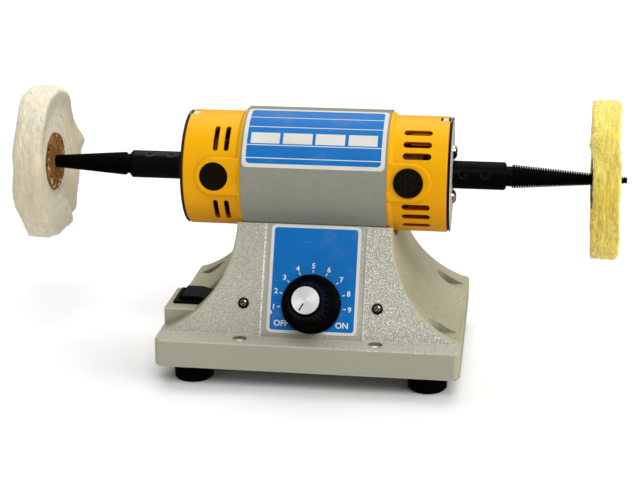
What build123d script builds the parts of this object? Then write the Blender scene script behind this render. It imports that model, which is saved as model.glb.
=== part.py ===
from build123d import *
import math
import os

# Bench polishing machine: a cast pedestal carries a double-ended motor with a buff on each spindle.
# Millimetres and degrees. X runs along the motor axis, the front is at -Y and +Z is up. The origin
# lies on the bench, under the middle of the motor axis.

# Overall sizes
axis_height = 125.0
base_width = 191.4
base_depth = 149.4

# Pedestal casting
foot_height = 13.5
plinth_height = 18.5
plinth_corner = 5.0
plinth_top_round = 1.2
plinth_bottom_round = 2.5
plinth_wall = 6.0
front_ledge = 15.2
side_ledge = 2.9
rear_ledge = 2.0
neck_width = 99.2
lip_drop = 28.2
lip_land = 0.9
pedestal_round = 1.6
wall = 4.0
saddle_gap = 0.2

# Hollows in the outside of the casting
panel_width = 64.0
panel_depth = 0.6
panel_x = 1.5
pocket_radius = 7.4
pocket_inset = 14.5
pocket_front_y = -45.5
pocket_rear_y = 48.5
dimple_x = 42.5
dimple_inset = 8.9
dimple_radius = 4.7
dimple_depth = 1.4

# Bottom plate, feet and their screws
plate_thickness = 1.2
plate_land = 3.0
plate_gap = 0.25
foot_radius = 12.4
foot_chamfer = 1.5
foot_inset_x = 21.0
foot_inset_y = 21.65
foot_recess_radius = 7.0
foot_web = 4.0
foot_boss_radius = 6.5
foot_screw_radius = 2.0
foot_screw_length = 16.0
foot_screw_head_radius = 5.0
foot_screw_head = 2.8
screw_clearance = 0.2
thread_gap = 0.05

# Motor barrel and the bolts that hold it in the saddle
barrel_radius = 40.0
barrel_length = 91.5
barrel_wall = 2.5
saddle_bolt_radius = 2.5
saddle_bolt_head_radius = 4.5
saddle_bolt_head = 3.5
saddle_bolt_x = 34.0
saddle_bolt_angle = 30.0

# End caps
cap_step = 3.2
cap_length = 37.3
cap_wall = 3.0
cap_rim_round = 0.8
collar_step = 1.2
collar_length = 3.5
spigot_length = 4.0
spigot_gap = 0.1
hub_radius = 17.5
hub_length = 13.5
snout_radius = 9.2
snout_length = 1.85
rib_thickness = 3.0
rib_length = 7.0
rib_count = 4
rib_angle = 45.0
boss_tilt = 5.2
boss_half_width = 12.0
boss_proud = 0.8
left_boss_x = 62.9
left_boss_reach = 12.4
right_boss_x = 59.1
right_boss_reach = 14.2
plug_radius = 9.0
plug_depth = 2.2
plug_gap = 0.05

# Vent slots: straight ones in the right cap, ones that run round the left cap
right_vent_width = 4.3
right_vent_length = 17.7
right_vent_x = 63.85
right_vent_angles = (25.9, 38.1, 52.5)
left_vent_width = 3.2
left_vent_x = (55.6, 62.6)
left_vent_start = 25.3
left_vent_end = 53.6

# End plates with their seals, tabs and screws
seal_thickness = 0.7
seal_land = 4.0
end_plate_thickness = 0.8
end_plate_margin = 0.5
end_plate_rise = 0.4
end_plate_step = 29.0
end_plate_hole = 9.6
tab_angle = 80.0
tab_width = 6.6
tab_length = 6.0
tab_gap = 0.2
end_screw_circle = 14.7
end_screw_radius = 1.6
end_screw_length = 9.0
end_screw_head_radius = 4.4
end_screw_dome = 2.8
end_screw_shoulder_radius = 3.8
end_screw_crown_radius = 1.8

# Long bolts that draw the two end caps together
tie_circle = 28.5
tie_angle = 19.8
tie_radius = 2.0
tie_column_radius = 5.0
tie_column_length = 11.0
tie_head_radius = 3.6
tie_head = 2.6
tie_nut_flats = 7.0
tie_recess_radius = 4.2
tie_recess_depth = 3.0

# Bearings
bearing_outer_radius = 11.0
bearing_width = 7.0
bearing_x = 71.0
ring_wall = 2.0
ball_radius = 1.98
ball_count = 7
race_gap = 0.03
cage_wall = 1.2
cage_width = 4.6
cage_gap = 0.07
bearing_fit = 0.02

# Rotor
shaft_end_radius = 4.0
shaft_middle_radius = 5.0
shaft_clearance = 1.0
armature_radius = 20.5
armature_length = 50.0
armature_slots = 12
armature_slot_width = 4.0
armature_slot_depth = 8.0
winding_overhang = 11.0
winding_inner_radius = 8.0
winding_outer_radius = 17.5
winding_gap = 0.15
commutator_radius = 12.0
commutator_start = 44.0
commutator_length = 22.0
riser_radius = 14.0
riser_length = 3.0
fan_radius = 25.0
fan_start = 52.0
fan_length = 14.0
fan_plate = 1.8
fan_hub_radius = 9.0
fan_blade = 1.6
fan_blades = 9
press_gap = 0.02

# Stator
stator_gap = 0.1
air_gap = 0.7
yoke_thickness = 5.9
pole_half_width = 12.0
shoe_thickness = 3.8
shoe_half_angle = 55.0
coil_gap = 0.3
coil_thickness = 7.5
stator_length = 50.0

# Brush gear in the right cap
holder_radius = 7.2
holder_wall = 0.9
holder_flange_radius = 9.3
holder_flange = 1.2
holder_end = 16.5
holder_fit = 0.1
brush_length_x = 9.0
brush_width = 5.0
brush_slide = 0.1
brush_top = 27.0
brush_contact_gap = 0.1
brush_cap_depth = 4.6
brush_cap_proud = 0.3
brush_cap_slot = 2.0
brush_cap_slot_depth = 1.2
brush_cap_step = 0.7
brush_cap_step_depth = 0.9
spring_outer_radius = 2.3
spring_inner_radius = 1.7

# Spindles
left_spindle_gap = 8.0
right_spindle_gap = 2.2
sleeve_radius = 8.65
sleeve_length = 33.55
sleeve_bore_depth = 28.05
sleeve_chamfer = 1.2
neck_radius = 6.4
neck_length = 3.6
taper_length = 71.7
taper_big_radius = 7.35
taper_tip_radius = 1.9
set_screw_radius = 2.5
set_screw_places = (13.1, 27.2)
set_screw_sunk = 0.5
left_set_screw_angle = 68.0
right_set_screw_angle = 18.0

# Buffs
buff_radius = 50.0
left_buff_place = 52.6
left_buff_hub = 7.6
left_buff_rim = 16.4
right_buff_place = 57.8
right_buff_hub = 14.0
right_buff_rim = 17.4
buff_hub_radius = 21.0
left_rim_round = 7.0
right_rim_round = 1.6
buff_bore_gap = 0.05
leather_radius = 18.7
leather_thickness = 1.4

# Labels
label_thickness = 0.5
front_label_width = 57.2
front_label_rise = 2.3
front_label_gap = 0.1
front_label_corner = 3.0
top_label_thickness = 0.25
top_label_margin = 1.05
top_label_start = 15.4
top_label_end = 84.0
top_label_corner = 3.0

# Speed knob and its control
knob_x = 0.9
knob_rise = 21.1
knob_height = 30.0
knob_skirt_radius = 18.7
knob_skirt = 3.0
knob_waist_radius = 13.2
knob_waist_height = 11.0
knob_top_radius = 10.2
knob_top_chamfer = 0.8
knob_lift = 0.6
knob_recess_radius = 7.0
knob_flutes = 24
knob_flute_width = 0.9
knob_flute_margin = 1.2
disc_radius = 8.5
disc_thickness = 0.8
disc_gap = 0.1
pot_radius = 8.5
pot_depth = 9.0
pot_floor = 2.0
bushing_wall = 0.45
bushing_length = 8.0
pot_shaft_radius = 3.0
pot_shaft_flat = 1.5
pot_shaft_engagement = 14.0
shaft_running_gap = 0.05
pot_nut_flats = 10.0
pot_nut_thickness = 2.0
grub_radius = 1.5
grub_height = 9.0

# Speed board behind the sloping face
front_screw_x = 42.4
front_screw_rise = 20.1
front_screw_radius = 1.5
front_screw_head_radius = 3.1
front_screw_head = 1.8
front_screw_chamfer = 0.9
front_screw_length = 8.5
spacer_radius = 3.5
board_width = 96.0
board_height = 34.0
board_thickness = 1.6
board_screw_length = 4.5
board_screw_head_radius = 2.8
board_screw_head = 1.8
component_gap = 0.1
capacitor_x = -26.0
capacitor_size = (8.0, 18.0, 13.0)
capacitor_round = 1.0
choke_radius = 9.0
choke_bore = 4.0
choke_height = 8.0
fin_x = 22.0
fin_width = 12.0
fin_depth = 20.0
fin_height = 20.0
fin_thickness = 2.0
triac_size = (4.5, 10.0, 15.0)

# Rocker switch in its box on the left flank
switch_inset = 19.2
switch_y = -25.0
box_setback = 0.7
box_rise = 11.0
box_width = 39.5
box_y = -27.25
box_sink = 18.5
switch_pocket_margin = 3.0
box_round = 1.5
box_top_round = 0.8
bezel_length = 29.0
bezel_width = 26.5
bezel_thickness = 2.0
bezel_corner = 1.5
bezel_chamfer = 0.5
rocker_radius = 11.8
rocker_width = 20.0
rocker_peak = 7.0
rocker_underside = 3.0
rocker_tilt = 8.0
rocker_gap = 0.3
pivot_drop = 4.5
trunnion_radius = 1.5
trunnion_length = 1.0
switch_wall = 1.3
switch_cavity = 6.0
switch_body_depth = 19.0
switch_fit = 0.1
terminal_length = 7.0
terminal_width = 6.3
terminal_thickness = 0.8
terminal_x = 7.0
terminal_y = 5.5

# Grommet in the rear wall of the plinth
grommet_x = 55.0
grommet_radius = 4.6
grommet_bore = 3.2
grommet_flange_radius = 6.2
grommet_flange = 1.5
grommet_gap = 0.1

# Sizes that follow from those above
plinth_top = foot_height + plinth_height
pedestal_top = axis_height - lip_drop
saddle_radius = barrel_radius + saddle_gap
lip_y = math.sqrt(saddle_radius**2 - lip_drop**2) + lip_land
front_y = -base_depth / 2 + front_ledge
rear_y = base_depth / 2 - rear_ledge
slope_run = -lip_y - front_y
lean = math.degrees(math.atan2(slope_run, pedestal_top - plinth_top))
slope_length = math.hypot(slope_run, pedestal_top - plinth_top)
flank_foot = base_width / 2 - side_ledge
neck = neck_width / 2
foot_places = [
    (x * (base_width / 2 - foot_inset_x), y * (base_depth / 2 - foot_inset_y))
    for x in (-1, 1)
    for y in (-1, 1)
]
barrel_end = barrel_length / 2
barrel_bore = barrel_radius - barrel_wall
cap_end = barrel_end + cap_length
cap_radius = barrel_radius - cap_step
cap_bore = cap_radius - cap_wall
collar_radius = barrel_radius - collar_step
boss_height = cap_radius + boss_proud
end_plate_radius = cap_radius - end_plate_margin
snout_end = cap_end + snout_length
plate_seat = cap_end + seal_thickness
plate_face = plate_seat + end_plate_rise + end_plate_thickness
left_sleeve_start = cap_end + left_spindle_gap
right_sleeve_start = cap_end + right_spindle_gap
left_thread_start = left_sleeve_start + sleeve_length + neck_length
right_thread_start = right_sleeve_start + sleeve_length + neck_length
pitch_radius = (shaft_end_radius + bearing_outer_radius) / 2
bearing_middle = bearing_x + bearing_width / 2
stator_radius = barrel_bore - stator_gap
stator_bore = armature_radius + air_gap
window_radius = stator_radius - yoke_thickness
brush_cap_radius = holder_radius - holder_wall - thread_gap
switch_x = -(base_width / 2 - switch_inset)
box_side = -(base_width / 2 - box_setback)
box_top = plinth_top + box_rise
pivot_z = box_top + bezel_thickness - pivot_drop
switch_opening = rocker_radius + rocker_gap
switch_half_length = switch_opening + switch_wall
switch_half_width = rocker_width / 2 + rocker_gap + switch_wall
front_label_height = slope_length - front_label_rise - front_label_gap
panel_floor = -panel_depth
label_top = panel_floor + label_thickness
bushing_radius = pot_shaft_radius + shaft_running_gap + bushing_wall
board_top = -wall - pot_depth

# The sloping front face: local X to the right, local Y up the slope, local Z outward
front_face = Plane(
    origin=(0, front_y, plinth_top),
    x_dir=(1, 0, 0),
    z_dir=(0, -math.cos(math.radians(lean)), math.sin(math.radians(lean))),
)


def on_motor(shape):
    """Move a shape made about the X axis up to the motor axis."""
    return Pos(0, 0, axis_height) * shape


def to_left(shape):
    """Mirror a shape of the right end to the left end."""
    return mirror(shape, about=Plane.YZ)


def turned(*points):
    """A solid of revolution about the X axis, from points of place along X and radius."""
    return revolve(Plane.XZ * make_face(Polyline(*points, close=True)), Axis.X)


def ring(start, end, inner, outer):
    """A plain ring about the X axis."""
    return turned((start, inner), (end, inner), (end, outer), (start, outer))


def rod(start, end, radius):
    """A plain rod on the X axis."""
    return turned((start, 0), (end, 0), (end, radius), (start, radius))


def radial(sketch, angle, inner, outer):
    """A sketch drawn facing the front, raised along the radius at an angle above the front."""
    return Rot(-angle, 0, 0) * extrude(Plane.XZ.offset(inner) * sketch, amount=outer - inner)


def at_front(shape, x, rise, height=0.0):
    """Place a shape on the sloping front face."""
    return front_face * Pos(x, rise, height) * shape


def upright(radius, bottom, top):
    """A cylinder along Z between two heights."""
    return Pos(0, 0, (bottom + top) / 2) * Cylinder(radius, top - bottom)


def block(low, high):
    """A box between two opposite corners."""
    middle = [(a + b) / 2 for a, b in zip(low, high)]
    size = [b - a for a, b in zip(low, high)]
    return Pos(*middle) * Box(*size)


def front_profile(bottom):
    """The pedestal seen from the front, with flanks that flare from the neck to the plinth."""
    right = TangentArc((neck, pedestal_top), (flank_foot, plinth_top), tangent=(0, -1))
    left = TangentArc((-neck, pedestal_top), (-flank_foot, plinth_top), tangent=(0, -1))
    lines = [right, left, Line((-neck, pedestal_top), (neck, pedestal_top))]
    foot = [(flank_foot, plinth_top), (flank_foot, bottom), (-flank_foot, bottom), (-flank_foot, plinth_top)]
    corners = foot if bottom < plinth_top else foot[::3]
    return make_face(lines + [Polyline(*corners)])


def side_profile(bottom):
    """The pedestal seen from the side, with the sloping front and rear faces."""
    foot = [(front_y, bottom), (rear_y, bottom)]
    slope = [(rear_y, plinth_top), (rear_y - slope_run, pedestal_top)]
    slope += [(front_y + slope_run, pedestal_top), (front_y, plinth_top)]
    return make_face(Polyline(*(foot + slope if bottom < plinth_top else slope), close=True))


def crossed(front, side):
    """The solid that has one outline from the front and the other from the side."""
    across = extrude(Plane.XZ * front, amount=base_depth, both=True)
    along = extrude(Plane.YZ * side, amount=base_width, both=True)
    return across & along


def casting_outside():
    """The plinth and pedestal with their rounded edges, the switch box added."""
    outline = RectangleRounded(base_width, base_depth, plinth_corner)
    plinth = extrude(Pos(0, 0, foot_height) * outline, plinth_height)
    plinth = fillet(plinth.edges().group_by(Axis.Z)[-1], plinth_top_round)
    plinth = fillet(plinth.edges().group_by(Axis.Z)[0], plinth_bottom_round)
    pedestal = crossed(front_profile(plinth_top), side_profile(plinth_top))
    pedestal = fillet(pedestal.edges().filter_by(GeomType.ELLIPSE), pedestal_round)
    inner_x = switch_x + box_sink
    box = block(
        (box_side, box_y - box_width / 2, foot_height + plinth_bottom_round),
        (inner_x, box_y + box_width / 2, box_top),
    )
    box = fillet(box.edges().filter_by(Axis.Z).group_by(Axis.X)[0], box_round)
    box = fillet(box.edges().group_by(Axis.Z)[-1], box_top_round)
    return plinth + pedestal + box


def switch_pocket(grown):
    """The space sunk into the flank above the switch box, grown all round by a wall."""
    half = bezel_width / 2 + switch_pocket_margin + grown
    return block(
        (-base_width, switch_y - half, box_top - grown),
        (switch_x + box_sink + grown, switch_y + half, pedestal_top),
    )


def flank_pockets(grown):
    """The round-ended slots that open sideways in the flanks, grown all round by a wall."""
    places = [(1, pocket_front_y), (1, pocket_rear_y), (-1, pocket_rear_y)]
    inner_x = base_width / 2 - pocket_inset
    radius = pocket_radius + grown
    end = upright(radius, plinth_top - grown, pedestal_top)
    way = block((0, -radius, plinth_top - grown), (base_width, radius, pedestal_top))
    return [Pos(side * inner_x, y, 0) * Rot(0, 0, 90 - 90 * side) * (end + way) for side, y in places]


def base_casting():
    """The hollow pedestal: walls of even thickness with the saddle, pockets and bosses inside."""
    reach = foot_height - wall
    hollow = crossed(
        offset(front_profile(reach), -wall, kind=Kind.INTERSECTION),
        offset(side_profile(reach), -wall, kind=Kind.INTERSECTION),
    )
    room = RectangleRounded(base_width - 2 * plinth_wall, base_depth - 2 * plinth_wall, plinth_corner)
    hollow += extrude(Pos(0, 0, reach) * room, plinth_top - wall - reach)
    switch_room = block(
        (box_side + wall, box_y - box_width / 2 + wall, foot_height + plate_thickness),
        (switch_x + box_sink + wall, box_y + box_width / 2 - wall, box_top - wall),
    )
    hollow -= switch_pocket(wall)
    hollow += switch_room
    hollow -= on_motor(rod(-base_width, base_width, saddle_radius + wall))
    for cup in flank_pockets(wall):
        hollow -= cup
    for x, y in foot_places:
        hollow -= Pos(x, y, 0) * upright(foot_boss_radius, foot_height + plate_thickness, pedestal_top)
    body = casting_outside() - hollow
    body -= on_motor(rod(-base_width, base_width, saddle_radius))
    body -= switch_pocket(0)
    for pocket in flank_pockets(0):
        body -= pocket
    return body - casting_cuts()


def casting_cuts():
    """Everything drilled or sunk into the casting for other pieces."""
    land = 2 * plate_land
    rabbet = RectangleRounded(base_width - land, base_depth - land, plinth_corner)
    cuts = [extrude(Pos(0, 0, foot_height - wall) * rabbet, wall + plate_thickness)]
    for x, y in foot_places:
        depth = foot_height - foot_web + foot_screw_length + screw_clearance
        cuts.append(Pos(x, y, 0) * upright(foot_screw_radius + thread_gap, foot_height, depth))
    panel = Box(panel_width, slope_length * 2, panel_depth * 2)
    cuts.append(at_front(panel, panel_x, slope_length / 2))
    cuts.append(at_front(Cylinder(bushing_radius + screw_clearance, 4 * wall), knob_x, knob_rise))
    for side in (-1, 1):
        hole = Cylinder(front_screw_radius + screw_clearance, 4 * wall)
        cuts.append(at_front(hole, side * front_screw_x, front_screw_rise))
        dish = (dimple_radius**2 + dimple_depth**2) / (2 * dimple_depth)
        centre = (side * dimple_x, -base_depth / 2 + dimple_inset, plinth_top + dish - dimple_depth)
        cuts.append(Pos(*centre) * Rot(90, 0, 0) * Sphere(dish))
    for bolt_x, angle in saddle_bolt_places():
        hole = Circle(saddle_bolt_radius + screw_clearance)
        cuts.append(on_motor(radial(Pos(bolt_x, 0) * hole, angle, barrel_bore, saddle_radius + 2 * wall)))
    opening = 2 * (switch_half_length + switch_fit), 2 * (switch_half_width + switch_fit), 4 * wall
    cuts.append(Pos(switch_x, switch_y, box_top) * Box(*opening))
    cuts.append(grommet_place() * Cylinder(grommet_radius + grommet_gap, 4 * plinth_wall))
    return cuts


def saddle_bolt_places():
    """Place along X and angle of each bolt through the saddle."""
    down = -90
    return [(x * saddle_bolt_x, down + a * saddle_bolt_angle) for x in (-1, 1) for a in (-1, 1)]


def grommet_place():
    """The middle of the grommet hole, halfway up the room in the plinth, pointing rearward."""
    room_bottom = foot_height + plate_thickness
    room_top = plinth_top - wall
    return Pos(grommet_x, base_depth / 2, (room_bottom + room_top) / 2) * Rot(-90, 0, 0)


def bottom_plate():
    """Sheet that closes the plinth, in the step round its lower edge."""
    land = 2 * (plate_land + plate_gap)
    sheet = RectangleRounded(base_width - land, base_depth - land, plinth_corner - plate_gap)
    plate = extrude(Pos(0, 0, foot_height) * sheet, plate_thickness)
    for x, y in foot_places:
        plate -= Pos(x, y, 0) * upright(foot_screw_radius + screw_clearance, 0, plinth_top)
    return plate


def rubber_feet():
    """Round feet with a recess below for the screw head."""
    foot = upright(foot_radius, 0, foot_height)
    foot = chamfer(foot.edges().group_by(Axis.Z)[0], foot_chamfer)
    foot -= upright(foot_recess_radius, -foot_height, foot_height - foot_web)
    foot -= upright(foot_screw_radius + screw_clearance, 0, 2 * foot_height)
    return [Pos(x, y, 0) * foot for x, y in foot_places]


def foot_screws():
    """Pan-head screws from the foot recesses up into the bosses of the casting."""
    seat = foot_height - foot_web
    screw = upright(foot_screw_radius, seat, seat + foot_screw_length)
    screw += upright(foot_screw_head_radius, seat - foot_screw_head, seat)
    return [Pos(x, y, 0) * screw for x, y in foot_places]


def front_label():
    """Label plate in the sunk panel, with a hole for the control's bushing."""
    outline = RectangleRounded(front_label_width, front_label_height, front_label_corner)
    plate = extrude(outline, label_thickness)
    placed = at_front(plate, panel_x, front_label_rise + front_label_height / 2, panel_floor)
    return placed - at_front(Cylinder(bushing_radius + screw_clearance, 4 * wall), knob_x, knob_rise)


def front_screws():
    """Screws through the sloping face into the board spacers."""
    screw = upright(front_screw_radius, -front_screw_length, 0)
    head = upright(front_screw_head_radius, 0, front_screw_head)
    screw += chamfer(head.edges().group_by(Axis.Z)[-1], front_screw_chamfer)
    return [at_front(screw, side * front_screw_x, front_screw_rise) for side in (-1, 1)]


def board_spacers():
    """Tubes that stand the speed board off the inside of the sloping face."""
    tube = upright(spacer_radius, board_top, -wall)
    tube -= upright(front_screw_radius + thread_gap, 2 * board_top, wall)
    return [at_front(tube, side * front_screw_x, front_screw_rise) for side in (-1, 1)]


def speed_board():
    """Circuit board parallel to the sloping face."""
    board = block(
        (-board_width / 2, -board_height / 2, board_top - board_thickness),
        (board_width / 2, board_height / 2, board_top),
    )
    hole = upright(front_screw_radius + screw_clearance, 2 * board_top, 0)
    for side in (-1, 1):
        board -= Pos(side * front_screw_x, 0, 0) * hole
    return at_front(board, 0, front_screw_rise)


def standing(size, middle_x, back):
    """A box that stands on the back of the board, from its width, depth and height."""
    width, depth, height = size
    return block((middle_x - width / 2, -depth / 2, back - height), (middle_x + width / 2, depth / 2, back))


def board_components():
    """Capacitor, ring choke and power switch with its cooling fin, standing on the back of the board."""
    back = board_top - board_thickness - component_gap
    capacitor = fillet(standing(capacitor_size, capacitor_x, back).edges(), capacitor_round)
    choke = upright(choke_radius, back - choke_height, back) - upright(choke_bore, 2 * back, 0)
    fin = standing((fin_thickness, fin_depth, fin_height), fin_x + fin_thickness / 2, back)
    fin += block(
        (fin_x, -fin_depth / 2, back - fin_height),
        (fin_x + fin_width, fin_depth / 2, back - fin_height + fin_thickness),
    )
    triac = standing(triac_size, fin_x - component_gap - triac_size[0] / 2, back)
    return [at_front(piece, 0, front_screw_rise) for piece in (capacitor, choke, fin, triac)]


def board_screws():
    """Screws through the board into the far ends of the spacers."""
    back = board_top - board_thickness
    screw = upright(front_screw_radius, back, back + board_screw_length)
    screw += upright(board_screw_head_radius, back - board_screw_head, back)
    return [at_front(screw, side * front_screw_x, front_screw_rise) for side in (-1, 1)]


def pot_body():
    """Round control body against the inside of the wall, with its bushing through the wall."""
    body = upright(pot_radius, board_top, -wall) + upright(bushing_radius, -wall, bushing_length - wall)
    body -= upright(pot_shaft_radius + shaft_running_gap, board_top + pot_floor, bushing_length)
    return at_front(body, knob_x, knob_rise)


def pot_nut():
    """Hexagon nut that clamps the control to the label."""
    hexagon = RegularPolygon(pot_nut_flats / 2, 6, major_radius=False)
    nut = extrude(Pos(0, 0, label_top) * hexagon, pot_nut_thickness)
    nut -= upright(bushing_radius + thread_gap, -wall, bushing_length)
    return at_front(nut, knob_x, knob_rise)


def pot_shaft():
    """Control shaft from the floor of the control up into the knob, with a flat for the grub screw."""
    foot = board_top + pot_floor + shaft_running_gap
    top = label_top + knob_lift + bushing_length + pot_shaft_engagement
    shaft = upright(pot_shaft_radius, foot, top)
    side = 2 * pot_shaft_radius
    shaft -= block((-side, -side, bushing_length - wall), (side, -pot_shaft_flat, 2 * top))
    return at_front(shaft, knob_x, knob_rise)


def speed_knob():
    """Bell-shaped knob: straight skirt, concave flare, fluted grip and a sunk top."""
    low = label_top + knob_lift
    top = low + knob_height
    skirt_top = low + knob_skirt
    waist_z = low + knob_waist_height
    outline = [
        Polyline((0, low), (knob_skirt_radius, low), (knob_skirt_radius, skirt_top)),
        TangentArc((knob_waist_radius, waist_z), (knob_skirt_radius, skirt_top), tangent=(0, -1)),
        Polyline((knob_waist_radius, waist_z), (knob_top_radius, top), (0, top), (0, low)),
    ]
    knob = revolve(Plane.XZ * make_face(outline), Axis.Z)
    knob = chamfer(knob.edges().group_by(Axis.Z)[-1], knob_top_chamfer)
    knob -= knob_flute_cuts(waist_z, top)
    knob -= upright(disc_radius + disc_gap, top - disc_thickness, top + knob_height)
    knob -= upright(knob_recess_radius, low - knob_height, bushing_length - wall + knob_lift)
    shaft_top = low + bushing_length + pot_shaft_engagement
    knob -= upright(pot_shaft_radius + press_gap, low, shaft_top + press_gap)
    knob -= knob_cross_hole(grub_radius + thread_gap, knob_skirt_radius)
    return at_front(knob, knob_x, knob_rise)


def knob_flute_cuts(waist_z, top):
    """V-shaped flutes that run down the slope of the knob's grip."""
    middle = ((knob_waist_radius + knob_top_radius) / 2, 0, (top + waist_z) / 2)
    slope = math.degrees(math.atan2(knob_waist_radius - knob_top_radius, top - waist_z))
    length = top - waist_z - 2 * knob_flute_margin
    bar = Rot(0, 0, 45) * Box(knob_flute_width, knob_flute_width, length)
    flute = Pos(*middle) * Rot(0, -slope, 0) * bar
    return [Rot(0, 0, turn * 360 / knob_flutes) * flute for turn in range(knob_flutes)]


def knob_cross_hole(radius, end):
    """A rod across the knob from the flat of the control shaft outward."""
    start = pot_shaft_flat + press_gap
    cross = Pos(0, -(start + end) / 2, label_top + knob_lift + bushing_length + grub_height) * Rot(90, 0, 0)
    return cross * Cylinder(radius, end - start)


def knob_disc():
    """Bright disc let into the top of the knob."""
    top = label_top + knob_lift + knob_height
    return at_front(upright(disc_radius, top - disc_thickness, top), knob_x, knob_rise)


def knob_grub_screw():
    """Grub screw that holds the knob on the flat of its shaft."""
    return at_front(knob_cross_hole(grub_radius, knob_top_radius), knob_x, knob_rise)


def switch_housing():
    """Bezel and body of the switch, with the trunnion holes in its side walls."""
    bezel = extrude(RectangleRounded(bezel_length, bezel_width, bezel_corner), bezel_thickness)
    bezel = chamfer(bezel.edges().group_by(Axis.Z)[-1], bezel_chamfer)
    body = block(
        (-switch_half_length, -switch_half_width, -switch_body_depth),
        (switch_half_length, switch_half_width, 0),
    )
    room_y = rocker_width / 2 + rocker_gap
    floor = bezel_thickness - pivot_drop - switch_cavity
    room = block((-switch_opening, -room_y, floor), (switch_opening, room_y, 2 * bezel_thickness))
    hole = Pos(0, 0, bezel_thickness - pivot_drop) * Rot(90, 0, 0)
    hole *= Cylinder(trunnion_radius + shaft_running_gap, 2 * switch_half_width)
    return Pos(switch_x, switch_y, box_top) * (bezel + body - room - hole)


def switch_terminals():
    """Flat blades under the switch."""
    blade = Box(terminal_thickness, terminal_width, terminal_length)
    low = box_top - switch_body_depth - terminal_length / 2
    places = [(x * terminal_x, y * terminal_y) for x in (-1, 1) for y in (-1, 1)]
    return [Pos(switch_x + x, switch_y + y, low) * blade for x, y in places]


def switch_rocker():
    """Rocker with a roof-shaped top, round ends about its pivot and two trunnions; the outer half is up."""
    fall = rocker_radius * math.tan(math.radians(rocker_tilt))
    roof = [(0, rocker_peak), (rocker_radius, rocker_peak - fall), (rocker_radius, -rocker_underside)]
    roof += [(-x, z) for x, z in roof[:0:-1]]
    outline = make_face(Polyline(*roof, close=True)) & Circle(rocker_radius)
    rocker = extrude(Plane.XZ * outline, amount=rocker_width / 2, both=True)
    rocker += Rot(90, 0, 0) * Cylinder(trunnion_radius, rocker_width + 2 * (rocker_gap + trunnion_length))
    return Pos(switch_x, switch_y, pivot_z) * Rot(0, rocker_tilt, 0) * rocker


def cord_grommet():
    """Rubber bush with a flange on each side of the rear wall."""
    grommet = upright(grommet_radius, -plinth_wall, 0)
    grommet += upright(grommet_flange_radius, 0, grommet_flange)
    grommet += upright(grommet_flange_radius, -plinth_wall - grommet_flange, -plinth_wall)
    grommet -= upright(grommet_bore, -2 * plinth_wall, plinth_wall)
    return grommet_place() * grommet


def saddle_bolts():
    """Bolts from inside the pedestal through the saddle into the barrel wall."""
    seat = saddle_radius + wall
    bolts = []
    for bolt_x, angle in saddle_bolt_places():
        shank = radial(Pos(bolt_x, 0) * Circle(saddle_bolt_radius), angle, barrel_bore, seat)
        head = RegularPolygon(saddle_bolt_head_radius, 6)
        bolt = shank + radial(Pos(bolt_x, 0) * head, angle, seat, seat + saddle_bolt_head)
        bolts.append(on_motor(bolt))
    return bolts


def motor_barrel():
    """Tube of the motor, drilled for the saddle bolts."""
    tube = on_motor(ring(-barrel_end, barrel_end, barrel_bore, barrel_radius))
    for bolt_x, angle in saddle_bolt_places():
        hole = Circle(saddle_bolt_radius + thread_gap)
        tube -= on_motor(radial(Pos(bolt_x, 0) * hole, angle, 0, 2 * barrel_radius))
    return tube


def top_label():
    """Curved label on the upper front of the barrel, with rounded corners."""
    end = barrel_end - top_label_margin
    section = Pos(0, barrel_radius + top_label_thickness / 2) * Rectangle(2 * end, top_label_thickness)
    start = Rot(90 - top_label_end, 0, 0) * Plane.XZ * section
    sheet = revolve(start, Axis.X, revolution_arc=top_label_end - top_label_start)
    corners = [edge for edge in sheet.edges() if edge.length < 2 * top_label_thickness]
    return on_motor(fillet(corners, top_label_corner))


def boss_pad(boss_x, boss_reach, angle):
    """Flat raised pad with a round outer end, running from the collar past the boss hole."""
    end_x = boss_x + boss_reach - boss_half_width
    outline = Pos(end_x, 0) * Circle(boss_half_width)
    outline += Pos((barrel_end + end_x) / 2, 0) * Rectangle(end_x - barrel_end, 2 * boss_half_width)
    pad = extrude(Plane.XZ.offset(cap_bore - cap_wall) * outline, amount=boss_height - cap_bore + cap_wall)
    rim = pad.edges().group_by(Axis.Y)[0]
    return Rot(-angle, 0, 0) * chamfer(rim, cap_rim_round)


def beside_axis(shape, circle, angle):
    """Move a shape made about the X axis out to a circle round it, at an angle above the front."""
    return Rot(-angle, 0, 0) * Pos(0, -circle, 0) * shape


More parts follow.
